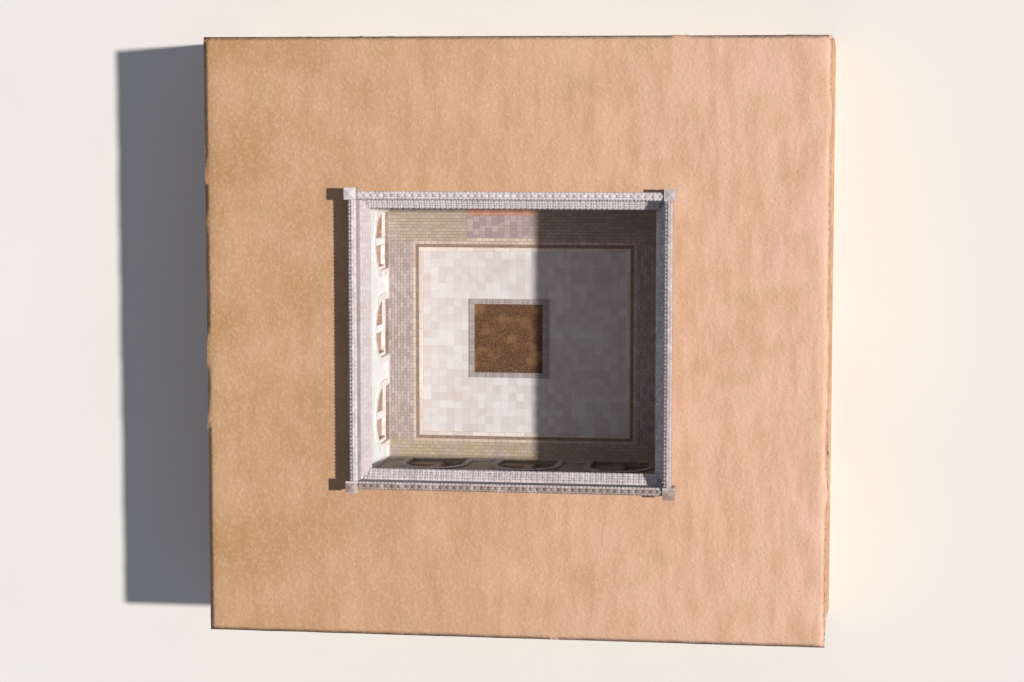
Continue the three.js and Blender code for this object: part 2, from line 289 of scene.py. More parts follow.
def limewash():
    """Lime and clay wash brushed over plaster: cream white, thin where rain has run."""

    def paint(coat):
        coat.over(coat.patches(1100, 0.3, 0.7), "#F8FAFC")
        coat.over(coat.patches(160, 0.6, 0.78, stretch=(1.0, 1.0, 0.14), shift=1.0), "#CDB9A8", 0.35)
        coat.over(coat.rise(Z, TERRACE + 0.7, TERRACE), "#B99A86", 0.5, coat.patches(340, 0.45, 0.7))
        return coat.patches(260, 0.25, 0.8, shift=7.0)

    return finish("limewash", "#EDEEF0", paint, roughness=0.9, grain=12, relief=4)


def mottled(name, ground, tint, patch, **look):
    """A finish of two colours, the second in patches of (size in millimetres, low, high)."""

    def paint(coat):
        coat.over(coat.patches(*patch), tint)

    return finish(name, ground, paint, **look)


def room_plaster():
    """Smoke-yellowed lime plaster inside the cave rooms."""

    def paint(coat):
        coat.over(coat.patches(1300, 0.3, 0.7), "#E6D9C3")
        coat.over(coat.patches(200, 0.6, 0.8, shift=3.0), "#B99F80")

    return finish("room_plaster", "#D9C8AE", paint, roughness=0.9, grain=16, relief=4)


def fired(name, dark, light, stain, stain_share, grain=8, relief=1.5, weather=None):
    """Fired clay units, each with its own tone from the kiln, stains that run across them, and weather."""

    def paint(coat):
        tone = add(coat.tree, "Attribute", attribute_name="tone").outputs["Fac"]
        coat.over(tone, light)
        coat.over(coat.patches(90, 0.45, 0.75), dark, 0.35)
        coat.over(coat.patches(700, 0.5, 0.72, shift=4.0), stain, stain_share)
        if weather:
            weather(coat)

    return finish(name, dark, paint, roughness=0.9, grain=grain, relief=relief)


def south_east_coping_darkening(coat):
    """Darker brown laid on the south coping, and less of it on the east one."""
    broken = coat.patches(500, 0.2, 0.5, shift=14.0)
    coat.over(coat.rise(Y, -COURT_Y, -COURT_Y - 0.06), "#8D7464", 0.75, broken)
    coat.over(coat.rise(X, COURT_X, COURT_X + 0.06), "#8D7464", 0.4, broken)


def algae(coat):
    """Olive tinge of the damp walk under the shaded south wall and along the north one."""
    broken = coat.patches(620, 0.25, 0.6, shift=17.0)
    coat.over(coat.rise(Y, KERB_LOW.y + 0.1, KERB_LOW.y - 0.3), "#B5A478", 0.6, broken)
    coat.over(coat.rise(Y, KERB_HIGH.y - 0.1, KERB_HIGH.y + 0.3), "#B5A478", 0.45, broken)


def kerb_stone():
    """Dressed stone kerb: warm white, rubbed pale on its top."""

    def paint(coat):
        tone = add(coat.tree, "Attribute", attribute_name="tone").outputs["Fac"]
        coat.over(tone, "#E8DED6")
        coat.over(coat.patches(120, 0.5, 0.7), "#C6AE98", 0.4)

    return finish("kerb_stone", "#D3C6BF", paint, roughness=0.85, grain=6, relief=1.5)


def bed_soil():
    """Bare dug soil in the bed: dark, crumbed and a little damp."""

    def paint(coat):
        clods = coat.patches(70, 0.35, 0.65)
        coat.over(clods, "#7A583E")
        coat.over(coat.patches(600, 0.5, 0.7, shift=2.0), "#8C6A4A")
        return clods

    return finish("bed_soil", "#4E3626", paint, roughness=0.95, grain=20, relief=18)


def sawn_timber(name, dark, light, worn, wear):
    """Old plank bleached by the sun: grain runs up the board, paler where it has weathered through."""

    def paint(coat):
        grain = coat.patches(60, 0.3, 0.7, stretch=(6.0, 6.0, 0.35))
        coat.over(grain, light)
        coat.over(coat.patches(120, 0.56, 0.66, stretch=(1.0, 1.0, 0.4), shift=5.0), worn, wear)
        return grain

    return finish(name, dark, paint, roughness=0.62, grain=5, relief=1.2)


def brick_floor():
    """Room floor of flat grey-brown bricks with sand joints."""

    def paint(coat):
        courses = add(coat.tree, "TexBrick", {
            "Vector": coat.place, "Scale": 1.0, "Mortar Size": JOINT / 2,
            "Brick Width": BRICK.x + JOINT, "Row Height": BRICK.y + JOINT,
            "Color1": coat.colour, "Color2": linear("#8F8075"), "Mortar": linear("#6F6155"),
        })
        coat.colour = courses.outputs[0]
        coat.over(coat.patches(500, 0.45, 0.7), "#7E6C5E", 0.5)
        return add(coat.tree, "Math", {0: courses.outputs[1], 1: -2.0}, operation="MULTIPLY").outputs[0]

    return finish("brick_floor", "#A5968A", paint, roughness=0.9, grain=10, relief=2)


EARTH_TOP = packed_earth()
EARTH_CUT = cut_loess()
CLAY = clay_plaster("clay_plaster", "#BD846A", "#CF9C80", "#A46C55", "#8C5E4C")
# Painted shade: the south facade stands in shade and gets a darker, greyer copy of the clay plaster
SHADED_CLAY = clay_plaster("shaded_clay_plaster", "#8A7F75", "#9C9084", "#75685C", "#675A4F")
LIME = limewash()
FACADES = {"north": CLAY, "west": LIME, "south": SHADED_CLAY, "east": CLAY}
ROOM_LIME = room_plaster()
GREY_BRICK = fired("grey_brick", "#978F8C", "#B7AEAA", "#82756C", 0.4, grain=7)
LIMED_BRICK = fired("limed_brick", "#D2CDC8", "#F0EDE8", "#B9ADA2", 0.35, grain=7)
ROOF_TILE = fired("clay_roof_tile", "#C6BABC", "#E3D9D9", "#B3A69E", 0.3, 6, 1.2, south_east_coping_darkening)
WALK_BRICK = fired("walk_brick", "#A29694", "#BFB4B3", "#AB9F92", 0.4, weather=algae)
EDGING_BRICK = fired("edging_brick", "#C3AFA3", "#DAC8BB", "#BDA18C", 0.4)
LANDING_BRICK = fired("landing_brick", "#A08E90", "#BBAAAA", "#A79187", 0.4)
CLAY_APRON = fired("clay_apron", "#C08C77", "#CB9C88", "#AD8070", 0.3)
YARD_TILE = fired("yard_tile", "#CEC6C5", "#DEDBDC", "#C4B2AD", 0.4, 9, 1.2)
KERB_STONE = kerb_stone()
SOIL = bed_soil()
DOOR_WOOD = sawn_timber("door_wood", "#A98B7B", "#CDB3A3", "#DCC9BA", 0.8)
FRAME_WOOD = sawn_timber("frame_wood", "#957767", "#B79A88", "#D8C6B6", 0.7)
ROOM_FLOOR = brick_floor()
# Lime and loess mortar, and the bedding under the paving: sandy, dull and open grained
OPEN_GRAIN = {"patch": (150, 0.35, 0.7), "roughness": 0.97, "grain": 8, "relief": 3}
BRICK_MORTAR = mottled("brick_mortar", "#B5AAA1", "#CBC0B5", **OPEN_GRAIN)
PAVING_BED = mottled("paving_bed", "#8A7466", "#A18B7D", **OPEN_GRAIN)
# White paper pasted behind the window bars: matt, and a little yellowed by damp
PAPER = mottled("window_paper", "#F6F2EA", "#E4D9C6", (300, 0.4, 0.75), roughness=0.85, grain=30, relief=0.3)
# Black forged iron of rings and studs: dark and half glossy, a little rusted
IRON = mottled("forged_iron", "#2B2928", "#5A3A2A", (12, 0.5, 0.7), roughness=0.55, grain=3, relief=0.5,
               metallic=0.8)
# Plain pale matt floor of the studio
STUDIO_FLOOR = mottled("studio_floor", "#E4E1DC", "#E8E5E0", (9000, 0.2, 0.8), roughness=0.9, grain=40,
                       relief=0.1)


# Making and placing pieces

def mesh_from(name, bm, *surfaces):
    mesh = bpy.data.meshes.new(name)
    bm.to_mesh(mesh)
    bm.free()
    for surface in surfaces:
        mesh.materials.append(surface)
    return mesh


def piece(name, mesh, body=ROOT, stands_for=()):
    """A finished piece that rides on a body, and the nodes that it stands for."""
    made = bpy.data.objects.new(name, mesh)
    bpy.context.scene.collection.objects.link(made)
    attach(made, body)
    if stands_for:
        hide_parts(*stands_for)
    return made


def joined(name, unit, places, surface, tones=(0.0, 1.0)):
    """One mesh of many copies of a unit, each with a tone of its own in a range."""
    count, corners = len(places), len(unit.vertices)
    points = np.empty(corners * 3)
    unit.vertices.foreach_get("co", points)
    turns = np.array([[list(row) for row in place] for place in places])
    world = np.einsum("nij,vj->nvi", turns[:, :3, :3], points.reshape(-1, 3)) + turns[:, None, :3, 3]
    loops = np.empty(len(unit.loops), int)
    unit.loops.foreach_get("vertex_index", loops)
    starts = np.empty(len(unit.polygons), int)
    sizes = np.empty(len(unit.polygons), int)
    unit.polygons.foreach_get("loop_start", starts)
    unit.polygons.foreach_get("loop_total", sizes)
    mesh = bpy.data.meshes.new(name)
    mesh.vertices.add(count * corners)
    mesh.vertices.foreach_set("co", world.ravel())
    mesh.loops.add(count * len(loops))
    mesh.loops.foreach_set("vertex_index", (loops + corners * np.arange(count)[:, None]).ravel())
    mesh.polygons.add(count * len(starts))
    mesh.polygons.foreach_set("loop_start", (starts + len(loops) * np.arange(count)[:, None]).ravel())
    mesh.polygons.foreach_set("loop_total", np.tile(sizes, count))
    smooth = np.empty(len(unit.polygons), bool)
    unit.polygons.foreach_get("use_smooth", smooth)
    mesh.polygons.foreach_set("use_smooth", np.tile(smooth, count))
    drawn = tones[0] + (tones[1] - tones[0]) * np.array([random.random() for _ in places])
    tone = mesh.attributes.new("tone", "FLOAT", "POINT")
    tone.data.foreach_set("value", np.repeat(drawn, corners))
    mesh.update(calc_edges=True)
    mesh.materials.append(surface)
    return mesh


def lay(name, unit, places, surface, tones=(0.0, 1.0), stands_for=()):
    """A piece of many copies of a unit."""
    piece(name, joined(name, unit, places, surface, tones), stands_for=stands_for)


def block_unit(name, size, chamfer):
    """A block centred on its place, with chamfered edges."""
    bm = bmesh.new()
    bmesh.ops.create_cube(bm, size=1.0)
    bmesh.ops.scale(bm, vec=size, verts=bm.verts)
    bmesh.ops.bevel(bm, geom=bm.edges[:], offset=chamfer, offset_type="OFFSET", affect="EDGES",
                    segments=1, profile=0.5, material=-1)
    return mesh_from(name, bm)


def add_block(bm, low, high, chamfer=0.0, material=0):
    """Adds a block between two corners to a bmesh."""
    low, high = Vector(low), Vector(high)
    made = bmesh.ops.create_cube(bm, size=1.0)["verts"]
    bmesh.ops.scale(bm, vec=high - low, verts=made)
    bmesh.ops.translate(bm, vec=(low + high) / 2, verts=made)
    faces = {face for vert in made for face in vert.link_faces}
    for face in faces:
        face.material_index = material
    if chamfer:
        edges = list({edge for vert in made for edge in vert.link_edges})
        bmesh.ops.bevel(bm, geom=edges, offset=chamfer, offset_type="OFFSET", affect="EDGES",
                        segments=1, profile=0.5, material=-1)


def shell_unit(name, radius, thick, length, opening, steps, taper=1.0):
    """A curved tile: part of a tapered pipe along Y, open downwards, with its crown at +Z."""
    bm = bmesh.new()
    start = math.radians(opening / 2)
    corners = []
    for y, size in ((-length / 2, 1.0), (length / 2, taper)):
        for r in (radius, radius - thick):
            corners.append(bm.verts.new((-r * size * math.sin(start), y, r * size * math.cos(start))))
    face = bm.faces.new([corners[i] for i in (0, 1, 3, 2)])
    bmesh.ops.spin(bm, geom=[face, *face.edges, *face.verts], cent=(0, 0, 0), axis=(0, 1, 0),
                   angle=math.radians(opening), steps=steps, use_duplicate=False)
    bmesh.ops.recalc_face_normals(bm, faces=bm.faces)
    # The curved faces are shaded smooth, and the ends and lips stay flat
    for made in bm.faces:
        outward = made.calc_center_median()
        outward.y = 0
        made.smooth = abs(made.normal.dot(outward.normalized())) > 0.8
    return mesh_from(name, bm)


def bond(start, stop, shift, length):
    """Centres and lengths of the bricks in one course, with the end bricks cut to fit."""
    step = length + JOINT
    edge = start - shift * step
    while edge < stop - JOINT:
        left, right = max(edge, start), min(edge + length, stop)
        if right - left > SHORTEST_CUT:
            yield (left + right) / 2, right - left
        edge += step


BRICK_UNIT = block_unit("brick_unit", BRICK, CHAMFER)


def brick_place(base, size):
    """A brick on a base matrix, stretched to a size."""
    return base @ Matrix.Diagonal((size[0] / BRICK.x, size[1] / BRICK.y, size[2] / BRICK.z, 1.0))


def face_bricks(side, start, stop, low, high, front, depth=BRICK.y):
    """Running bond on a wall face whose outside is at front behind the facade."""
    places = []
    courses = round((high - low) / COURSE)
    rise = (high - low) / courses
    for row in range(courses):
        level = low + (row + 0.5) * rise
        for along, length in bond(start, stop, 0.5 * (row % 2), BRICK.x):
            base = side.at(along, front + depth / 2, level)
            places.append(brick_place(base, (length, depth, rise - JOINT)))
    return places


def mitred_strip(side, profile, stop=math.inf):
    """A rim profile of (behind, level) points run along one side, with mitred ends up to the stop."""
    bm = bmesh.new()
    ends = []
    for hand in (-1, 1):
        reach = [side.half + min(behind, stop) for behind, _ in profile]
        ends.append([bm.verts.new((hand * r, side.distance + b, z)) for r, (b, z) in zip(reach, profile)])
    for ring in ends:
        bm.faces.new(ring)
    bmesh.ops.bridge_loops(bm, edges=[edge for edge in bm.edges])
    bmesh.ops.recalc_face_normals(bm, faces=bm.faces)
    bmesh.ops.transform(bm, matrix=side.turn, verts=bm.verts)
    return bm


# Rim: eaves, parapets, copings and corner piers

TILE_LAYER = 0.045
EAVE_TIP_TOP = EAVE_HIGH.z - EAVE_DROP
EAVE_UNDERSIDE = EAVE_TIP_TOP - EAVE_EDGE
CORBEL_RISE = (EAVE_UNDERSIDE - EAVE_LOW.z) / 3
CORBEL_DEPTH = 0.2
SAWTOOTH_SPACING = 0.17
SAWTOOTH_SIDE = 0.112
SAWTOOTH_BEHIND = 0.01
CORBEL_CLEAR = 0.02
BED_INSET = 0.015
BED_LIP = 0.02
EAVE_RUN = EAVE_REACH + RIM_FACE
EAVE_PITCH = math.atan2(EAVE_DROP, EAVE_RUN)
EAVE_LENGTH = math.hypot(EAVE_DROP, EAVE_RUN)
EAVE_LAPS = 4
ROW_SPACING = 0.2

# Eave tiles: their sizes, how each sits on the bedding, and how it leans and strays
TILE_LENGTH = 0.15
TILE_LEAN = 0.07
TILE_SWAY = 0.025
TILE_STRAY = 0.003
COVER_RADIUS = 0.066
COVER_SINK = 0.014
PAN_RADIUS = 0.118
PAN_SEAT = 0.006
VALLEY_RADIUS = 0.136
VALLEY_SINK = 0.003
VALLEY_CLEAR = 0.075
VALLEY_LEAN = 0.06
COVER_UNIT = shell_unit("cover_tile", COVER_RADIUS, 0.012, TILE_LENGTH, 180, 6, taper=0.88)
PAN_UNIT = shell_unit("pan_tile", PAN_RADIUS, 0.012, TILE_LENGTH, 96, 4, taper=0.92)
VALLEY_UNIT = shell_unit("valley_tile", VALLEY_RADIUS, 0.014, TILE_LENGTH, 70, 4, taper=0.92)


def corbel_profile():
    """Bedding of the eave: a sloping top under the tiles, and stepped brick courses below."""
    tip = BED_INSET - EAVE_REACH
    tip_top = EAVE_TIP_TOP + BED_INSET * EAVE_DROP / EAVE_RUN - TILE_LAYER
    points = [(RIM_BACK, EAVE_LOW.z), (RIM_BACK, GROUND), (RIM_FACE, GROUND)]
    points += [(RIM_FACE, EAVE_HIGH.z - TILE_LAYER), (tip, tip_top), (tip, tip_top - BED_LIP)]
    for step in (2, 1, 0):
        low = EAVE_LOW.z + step * CORBEL_RISE
        points += [(-CORBEL_STEP * step, low + CORBEL_RISE), (-CORBEL_STEP * step, low)]
    return points


def corbel_bricks(side):
    """Three courses under the eave: flush stretchers, a sawtooth course and projecting headers."""
    places = []
    height = CORBEL_RISE - JOINT
    for step, length in enumerate((BRICK.x, None, BRICK.y)):
        level = EAVE_LOW.z + (step + 0.5) * CORBEL_RISE
        front = -CORBEL_STEP * step - BRICK_PROUD
        reach = side.half + front - CORBEL_CLEAR
        if length:
            for along, size in bond(-reach, reach, 0, length):
                base = side.at(along, front + CORBEL_DEPTH / 2, level)
                places.append(brick_place(base, (size, CORBEL_DEPTH, height)))
            continue
        count = int(2 * reach / SAWTOOTH_SPACING)
        for i in range(count):
            along = -reach + (i + 0.5) * 2 * reach / count
            base = side.at(along, SAWTOOTH_BEHIND, level) @ Matrix.Rotation(math.radians(45), 4, "Z")
            places.append(brick_place(base, (SAWTOOTH_SIDE, SAWTOOTH_SIDE, height)))
    return places


def on_eave(side, along, down):
    """Frame on the eave's bedding, a distance down its slope."""
    behind = RIM_FACE - down * math.cos(EAVE_PITCH)
    level = EAVE_HIGH.z - TILE_LAYER - down * math.sin(EAVE_PITCH)
    return side.at(along, behind, level) @ Matrix.Rotation(EAVE_PITCH - TILE_LEAN, 4, "X")


def eave_tiles(side):
    """Rows of cover and pan tiles down the eave, cut off at the mitred valleys."""
    covers, pans = [], []
    rows = int(side.half / ROW_SPACING) + 1
    for row in range(-2 * rows, 2 * rows + 1):
        along = row * ROW_SPACING / 2
        for lap in range(EAVE_LAPS):
            down = (lap + 0.5) * EAVE_LENGTH / EAVE_LAPS
            if abs(along) > side.half + RIM_FACE - down * math.cos(EAVE_PITCH) - VALLEY_CLEAR:
                continue
            sway = Matrix.Rotation(random.uniform(-TILE_SWAY, TILE_SWAY), 4, "Z")
            base = on_eave(side, along + random.uniform(-TILE_STRAY, TILE_STRAY), down)
            if row % 2 == 0:
                base = base @ Matrix.Translation((0, 0, -COVER_SINK))
                covers.append(base @ sway @ Matrix.Rotation(math.pi, 4, "Z"))
            else:
                base = base @ Matrix.Translation((0, 0, PAN_RADIUS + PAN_SEAT))
                pans.append(base @ sway @ Matrix.Rotation(math.pi, 4, "Y"))
    return covers, pans


# Round stops at the eave's edge, and the drips, which are stops of another shape
STOP_RADIUS = 0.062
STOP_THICK = 0.014
STOP_TAPER = 0.004
STOP_BEHIND = 0.009
STOP_DROP = 0.06
BOSS_RADIUS = 0.034
BOSS_TAPER = 0.008
BOSS_THICK = 0.006
DRIP_DROP = 0.075
DRIP_SHAPE = (1.25, 1.0, 0.8, 1.0)
END_CLEAR = 0.04


def eave_ends(side):
    """Round stop under each cover's lowest end, and the drip lip under each pan's."""
    stops, drips = [], []
    rows = int(side.half / ROW_SPACING) + 1
    for row in range(-2 * rows, 2 * rows + 1):
        along = row * ROW_SPACING / 2
        if abs(along) > side.half - EAVE_REACH - END_CLEAR:
            continue
        base = side.at(along, STOP_BEHIND - EAVE_REACH, EAVE_TIP_TOP)
        if row % 2 == 0:
            stops.append(base @ Matrix.Translation((0, 0, -STOP_DROP)))
        else:
            drips.append(base @ Matrix.Translation((0, 0, -DRIP_DROP)) @ Matrix.Diagonal(DRIP_SHAPE))
    return stops, drips


def stop_unit():
    """Flat round stop with a low boss, standing upright and facing the yard."""
    bm = bmesh.new()
    upright = Matrix.Rotation(math.pi / 2, 4, "X")
    boss = upright @ Matrix.Translation((0, 0, 0.008))
    bmesh.ops.create_cone(bm, cap_ends=True, segments=14, radius1=STOP_RADIUS - STOP_TAPER,
                          radius2=STOP_RADIUS, depth=STOP_THICK, matrix=upright)
    bmesh.ops.create_cone(bm, cap_ends=True, segments=10, radius1=BOSS_RADIUS,
                          radius2=BOSS_RADIUS - BOSS_TAPER, depth=BOSS_THICK, matrix=boss)
    return mesh_from("stop_unit", bm)


def valley_tiles(corner):
    """Wide pans down the mitre where two eaves meet."""
    sx, sy = CORNERS[corner]
    top = Vector((sx * (COURT_X + RIM_FACE), sy * (COURT_Y + RIM_FACE), EAVE_HIGH.z - TILE_LAYER))
    tip = Vector((sx * (COURT_X - EAVE_REACH), sy * (COURT_Y - EAVE_REACH), EAVE_TIP_TOP - TILE_LAYER))
    up = (top - tip).normalized()
    across = up.cross(Vector((0, 0, 1))).normalized()
    normal = across.cross(up)
    turn = Matrix((across, up, normal)).transposed().to_4x4()
    places = []
    for lap in range(EAVE_LAPS + 1):
        place = tip.lerp(top, (lap + 0.5) / (EAVE_LAPS + 1)) + normal * (VALLEY_RADIUS - VALLEY_SINK)
        tilt = Matrix.Rotation(-VALLEY_LEAN, 4, "X") @ Matrix.Rotation(math.pi, 4, "Y")
        places.append(Matrix.Translation(place) @ turn @ tilt)
    return places


STOP_UNIT = stop_unit()
# Painted light and shade: the west eave's tiles, which face the sun, are toned darker, and the north eave's
# paler, evening out how the sun falls on them
EAVE_LIGHT_TONES = {"north": (0.6, 1.0), "west": (0.0, 0.4), "south": (0.0, 1.0), "east": (0.0, 1.0)}


def make_eaves():
    for side in SIDES:
        name, tones = side.name, EAVE_LIGHT_TONES[side.name]
        bedding = mesh_from(f"eave_bedding_{name}", mitred_strip(side, corbel_profile()), BRICK_MORTAR)
        piece(f"eave_bedding_{name}", bedding, stands_for=[f"eave_{name}"])
        lay(f"eave_corbels_{name}", BRICK_UNIT, corbel_bricks(side), GREY_BRICK)
        covers, pans = eave_tiles(side)
        lay(f"eave_covers_{name}", COVER_UNIT, covers, ROOF_TILE, tones)
        lay(f"eave_pans_{name}", PAN_UNIT, pans, ROOF_TILE, tones)
        stops, drips = eave_ends(side)
        lay(f"eave_stops_{name}", STOP_UNIT, stops, ROOF_TILE)
        lay(f"eave_drips_{name}", STOP_UNIT, drips, ROOF_TILE)
    for corner in CORNERS:
        lay(f"eave_valley_{corner}", VALLEY_UNIT, valley_tiles(corner), ROOF_TILE)


def make_parapets():
    for side in SIDES:
        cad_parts[f"parapet_{side.name}"].data.materials[0] = BRICK_MORTAR
        reach = side.half + RIM_FACE
        bricks = face_bricks(side, -reach, reach, GROUND, PARAPET_TOP, RIM_FACE - BRICK_PROUD)
        bricks += face_bricks(side, -reach, reach, GROUND, PARAPET_TOP, RIM_BACK + BRICK_PROUD - BRICK.y)
        lay(f"parapet_bricks_{side.name}", BRICK_UNIT, bricks, GREY_BRICK)


# Coping: ridge tiles along it, and short covers and pans down both flanks
COPING_EDGE = 0.01
RIDGE_RADIUS = 0.058
RIDGE_RISE = 0.06
RIDGE_SPACING = 0.26
RIDGE_SINK = 0.001
RIDGE_LEAN = 0.02
RIDGE_SWAY = 0.01
FLANK_PAN_RADIUS = 0.08
FLANK_PAN_SEAT = 0.002
FLANK_SPACING = 0.14
FLANK_SWAY = 0.03
# A flank tile's place: metres out from the ridge, and share of the way up the bedding
FLANK_OUT = 0.085
FLANK_UP = 0.4
# What the flanks leave clear at their ends: on the yard's side, and outside
FLANK_CLEAR = {-1: 0.03, 1: 0.05}
RIDGE_UNIT = shell_unit("ridge_tile", RIDGE_RADIUS, 0.013, 0.29, 180, 8, taper=0.9)
FLANK_UNIT = shell_unit("flank_tile", 0.042, 0.01, 0.12, 180, 6, taper=0.9)
FLANK_PAN_UNIT = shell_unit("flank_pan", FLANK_PAN_RADIUS, 0.01, 0.12, 100, 4, taper=0.95)


def make_copings():
    """Bedding with a row of ridge tiles along it and short tiles down both slopes."""
    low, inner, outer = COPING_LOW.z, COPING_LOW.y - COURT_Y, COPING_HIGH.y - COURT_Y
    middle = (inner + outer) / 2
    edge, crown = low + COPING_EDGE, COPING_TOP - RIDGE_RISE
    pitch = math.atan2(crown - edge, middle - inner)
    at_face = edge + (crown - edge) * (RIM_FACE - inner) / (middle - inner)
    profile = [(inner, low), (RIM_FACE, low), (outer, low), (outer, edge), (middle, crown)]
    profile += [(RIM_FACE, at_face), (inner, edge)]
    for side in SIDES:
        name = side.name
        bedding = mesh_from(f"coping_bedding_{name}", mitred_strip(side, profile, RIM_FACE), BRICK_MORTAR)
        piece(f"coping_bedding_{name}", bedding, stands_for=[f"coping_{name}"])
        reach = side.half + RIM_FACE
        ridges, flanks, pans = [], [], []
        count = round(2 * reach / RIDGE_SPACING)
        for i in range(count):
            along = -reach + (i + 0.5) * 2 * reach / count
            turn = Matrix.Rotation(math.pi / 2 + random.uniform(-RIDGE_SWAY, RIDGE_SWAY), 4, "Z")
            turn = turn @ Matrix.Rotation(-RIDGE_LEAN, 4, "X")
            ridges.append(side.at(along, middle, crown - RIDGE_SINK) @ turn)
        rows = int(2 * reach / FLANK_SPACING)
        for row in range(-rows, rows + 1):
            along = row * FLANK_SPACING / 2
            for hand in (-1, 1):
                if abs(along) > (reach if hand > 0 else side.half) - FLANK_CLEAR[hand]:
                    continue
                base = side.at(along, middle + hand * FLANK_OUT, edge + (crown - edge) * FLANK_UP)
                base = base @ Matrix.Rotation(-hand * pitch, 4, "X")
                if row % 2 == 0:
                    flanks.append(base @ Matrix.Rotation(random.uniform(-FLANK_SWAY, FLANK_SWAY), 4, "Z"))
                else:
                    base = base @ Matrix.Translation((0, 0, FLANK_PAN_RADIUS + FLANK_PAN_SEAT))
                    pans.append(base @ Matrix.Rotation(math.pi, 4, "Y"))
        lay(f"coping_ridge_{name}", RIDGE_UNIT, ridges, ROOF_TILE)
        lay(f"coping_flank_{name}", FLANK_UNIT, flanks, ROOF_TILE)
        lay(f"coping_pan_{name}", FLANK_PAN_UNIT, pans, ROOF_TILE)


CAP_SLAB = 0.055
CAP_CHAMFER = 0.008
CAP_TONE = 0.8
# The cap's point: the slab's share that its foot covers, its blunt top, and its hold in the slab
POINT_SHARE = 0.94
POINT_TOP = 0.02
POINT_SINK = 0.005


def pier_bricks(middle, half):
    """Courses round a pier, whose corner bricks lap to the left and right by turns."""
    courses = round((COPING_TOP - GROUND) / COURSE)
    rise = (COPING_TOP - GROUND) / courses
    length = 2 * half + BRICK_PROUD - BRICK.y - JOINT
    places = []
    for row in range(courses):
        along = (BRICK.y + JOINT + BRICK_PROUD) / 2 * (-1) ** row
        for turn in range(4):
            base = Matrix.Translation((middle.x, middle.y, GROUND + (row + 0.5) * rise))
            base = base @ Matrix.Rotation(turn * math.pi / 2, 4, "Z")
            base = base @ Matrix.Translation((along, -half - BRICK_PROUD + BRICK.y / 2, 0))
            places.append(brick_place(base, (length, BRICK.y, rise - JOINT)))
    return places


def pier_cap(low, high):
    """Chamfered slab with a low four-sided point."""
    bm = bmesh.new()
    middle = (low + high) / 2
    slab_top = COPING_TOP + CAP_SLAB
    add_block(bm, (low.x, low.y, COPING_TOP), (high.x, high.y, slab_top), CAP_CHAMFER)
    point = Matrix.Translation((middle.x, middle.y, (CAP_TOP + slab_top - POINT_SINK) / 2))
    point = point @ Matrix.Rotation(math.pi / 4, 4, "Z")
    foot = (high.x - low.x) / math.sqrt(2) * POINT_SHARE
    bmesh.ops.create_cone(bm, cap_ends=True, segments=4, radius1=foot, radius2=POINT_TOP,
                          depth=CAP_TOP - slab_top + POINT_SINK, matrix=point)
    return bm


def make_piers():
    """Corner piers: a brick shaft with trodden earth round its foot, under a slab with a low point."""
    for corner, (sx, sy) in CORNERS.items():
        low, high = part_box(f"pier_{corner}")
        middle = (low + high) / 2
        half = (high.x - low.x) / 2 - CAP_PROUD
        bm = bmesh.new()
        add_block(bm, (middle.x - half, middle.y - half, GROUND),
                  (middle.x + half, middle.y + half, COPING_TOP))
        x0, x1 = sorted((sx * COURT_X, middle.x + sx * half))
        y0, y1 = sorted((sy * COURT_Y, middle.y + sy * half))
        add_block(bm, (x0, y0, low.z), (x1, y1, GROUND - HAIR), material=1)
        core = mesh_from(f"pier_core_{corner}", bm, BRICK_MORTAR, EARTH_TOP)
        piece(f"pier_core_{corner}", core, stands_for=[f"pier_{corner}"])
        lay(f"pier_bricks_{corner}", BRICK_UNIT, pier_bricks(middle, half), GREY_BRICK)
        cap = mesh_from(f"pier_cap_{corner}", pier_cap(low, high), ROOF_TILE)
        tone_all(piece(f"pier_cap_{corner}", cap), CAP_TONE)


# Arches, plinths, fronts and doors

PLINTH_TOP = TERRACE + PLINTH_HEIGHT


def arch_bricks(side, middle):
    """Bricks of one arch, from its proud face to the front wall: jambs laid flat and voussoirs on edge."""
    places = []
    front = -RING_PROUD - BRICK_PROUD
    depth = LINING_DEPTH - front
    inner, outer = RING_INNER - BRICK_PROUD, RING_OUTER + BRICK_PROUD
    radial = (inner + outer) / 2
    courses = round((SPRING - TERRACE) / COURSE)
    rise = (SPRING - TERRACE) / courses
    crown = math.acos(ARCH_POINT / (RING_INNER + ARCH_POINT))
    count = round(crown * (RING_INNER + ARCH_POINT) / COURSE)
    for hand in (-1, 1):
        for row in range(courses):
            base = side.at(middle + hand * radial, front + depth / 2, TERRACE + (row + 0.5) * rise)
            places.append(brick_place(base, (outer - inner, depth, rise - JOINT)))
        centre = side.at(middle - hand * ARCH_POINT, front + depth / 2, SPRING)
        for i in range(count):
            angle = (i + 0.5) * crown / count
            if hand < 0:
                angle = math.pi - angle
            base = centre @ Matrix.Rotation(-angle, 4, "Y") @ Matrix.Translation((radial + ARCH_POINT, 0, 0))
            places.append(brick_place(base, (outer - inner, depth, COURSE - JOINT)))
    return places


def make_arches():
    """Brick rings and plinths. Those of the west side carry the wall's limewash."""
    for side in SIDES:
        limed = side.name == "west"
        surface = LIMED_BRICK if limed else GREY_BRICK
        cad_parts[f"arch_trim_{side.name}"].data.materials[0] = LIME if limed else BRICK_MORTAR
        rings = [place for middle in side.rooms for place in arch_bricks(side, middle)]
        lay(f"arch_bricks_{side.name}", BRICK_UNIT, rings, surface)
        stops = [stop for middle in side.rooms for stop in (middle - RING_OUTER, middle + RING_OUTER)]
        ends = [-side.half + RING_PROUD, *stops, side.half - RING_PROUD]
        plinth = []
        for start, stop in zip(ends[::2], ends[1::2]):
            plinth += face_bricks(side, start, stop, TERRACE, PLINTH_TOP, -PLINTH_PROUD - BRICK_PROUD)
        lay(f"plinth_bricks_{side.name}", BRICK_UNIT, plinth, surface)


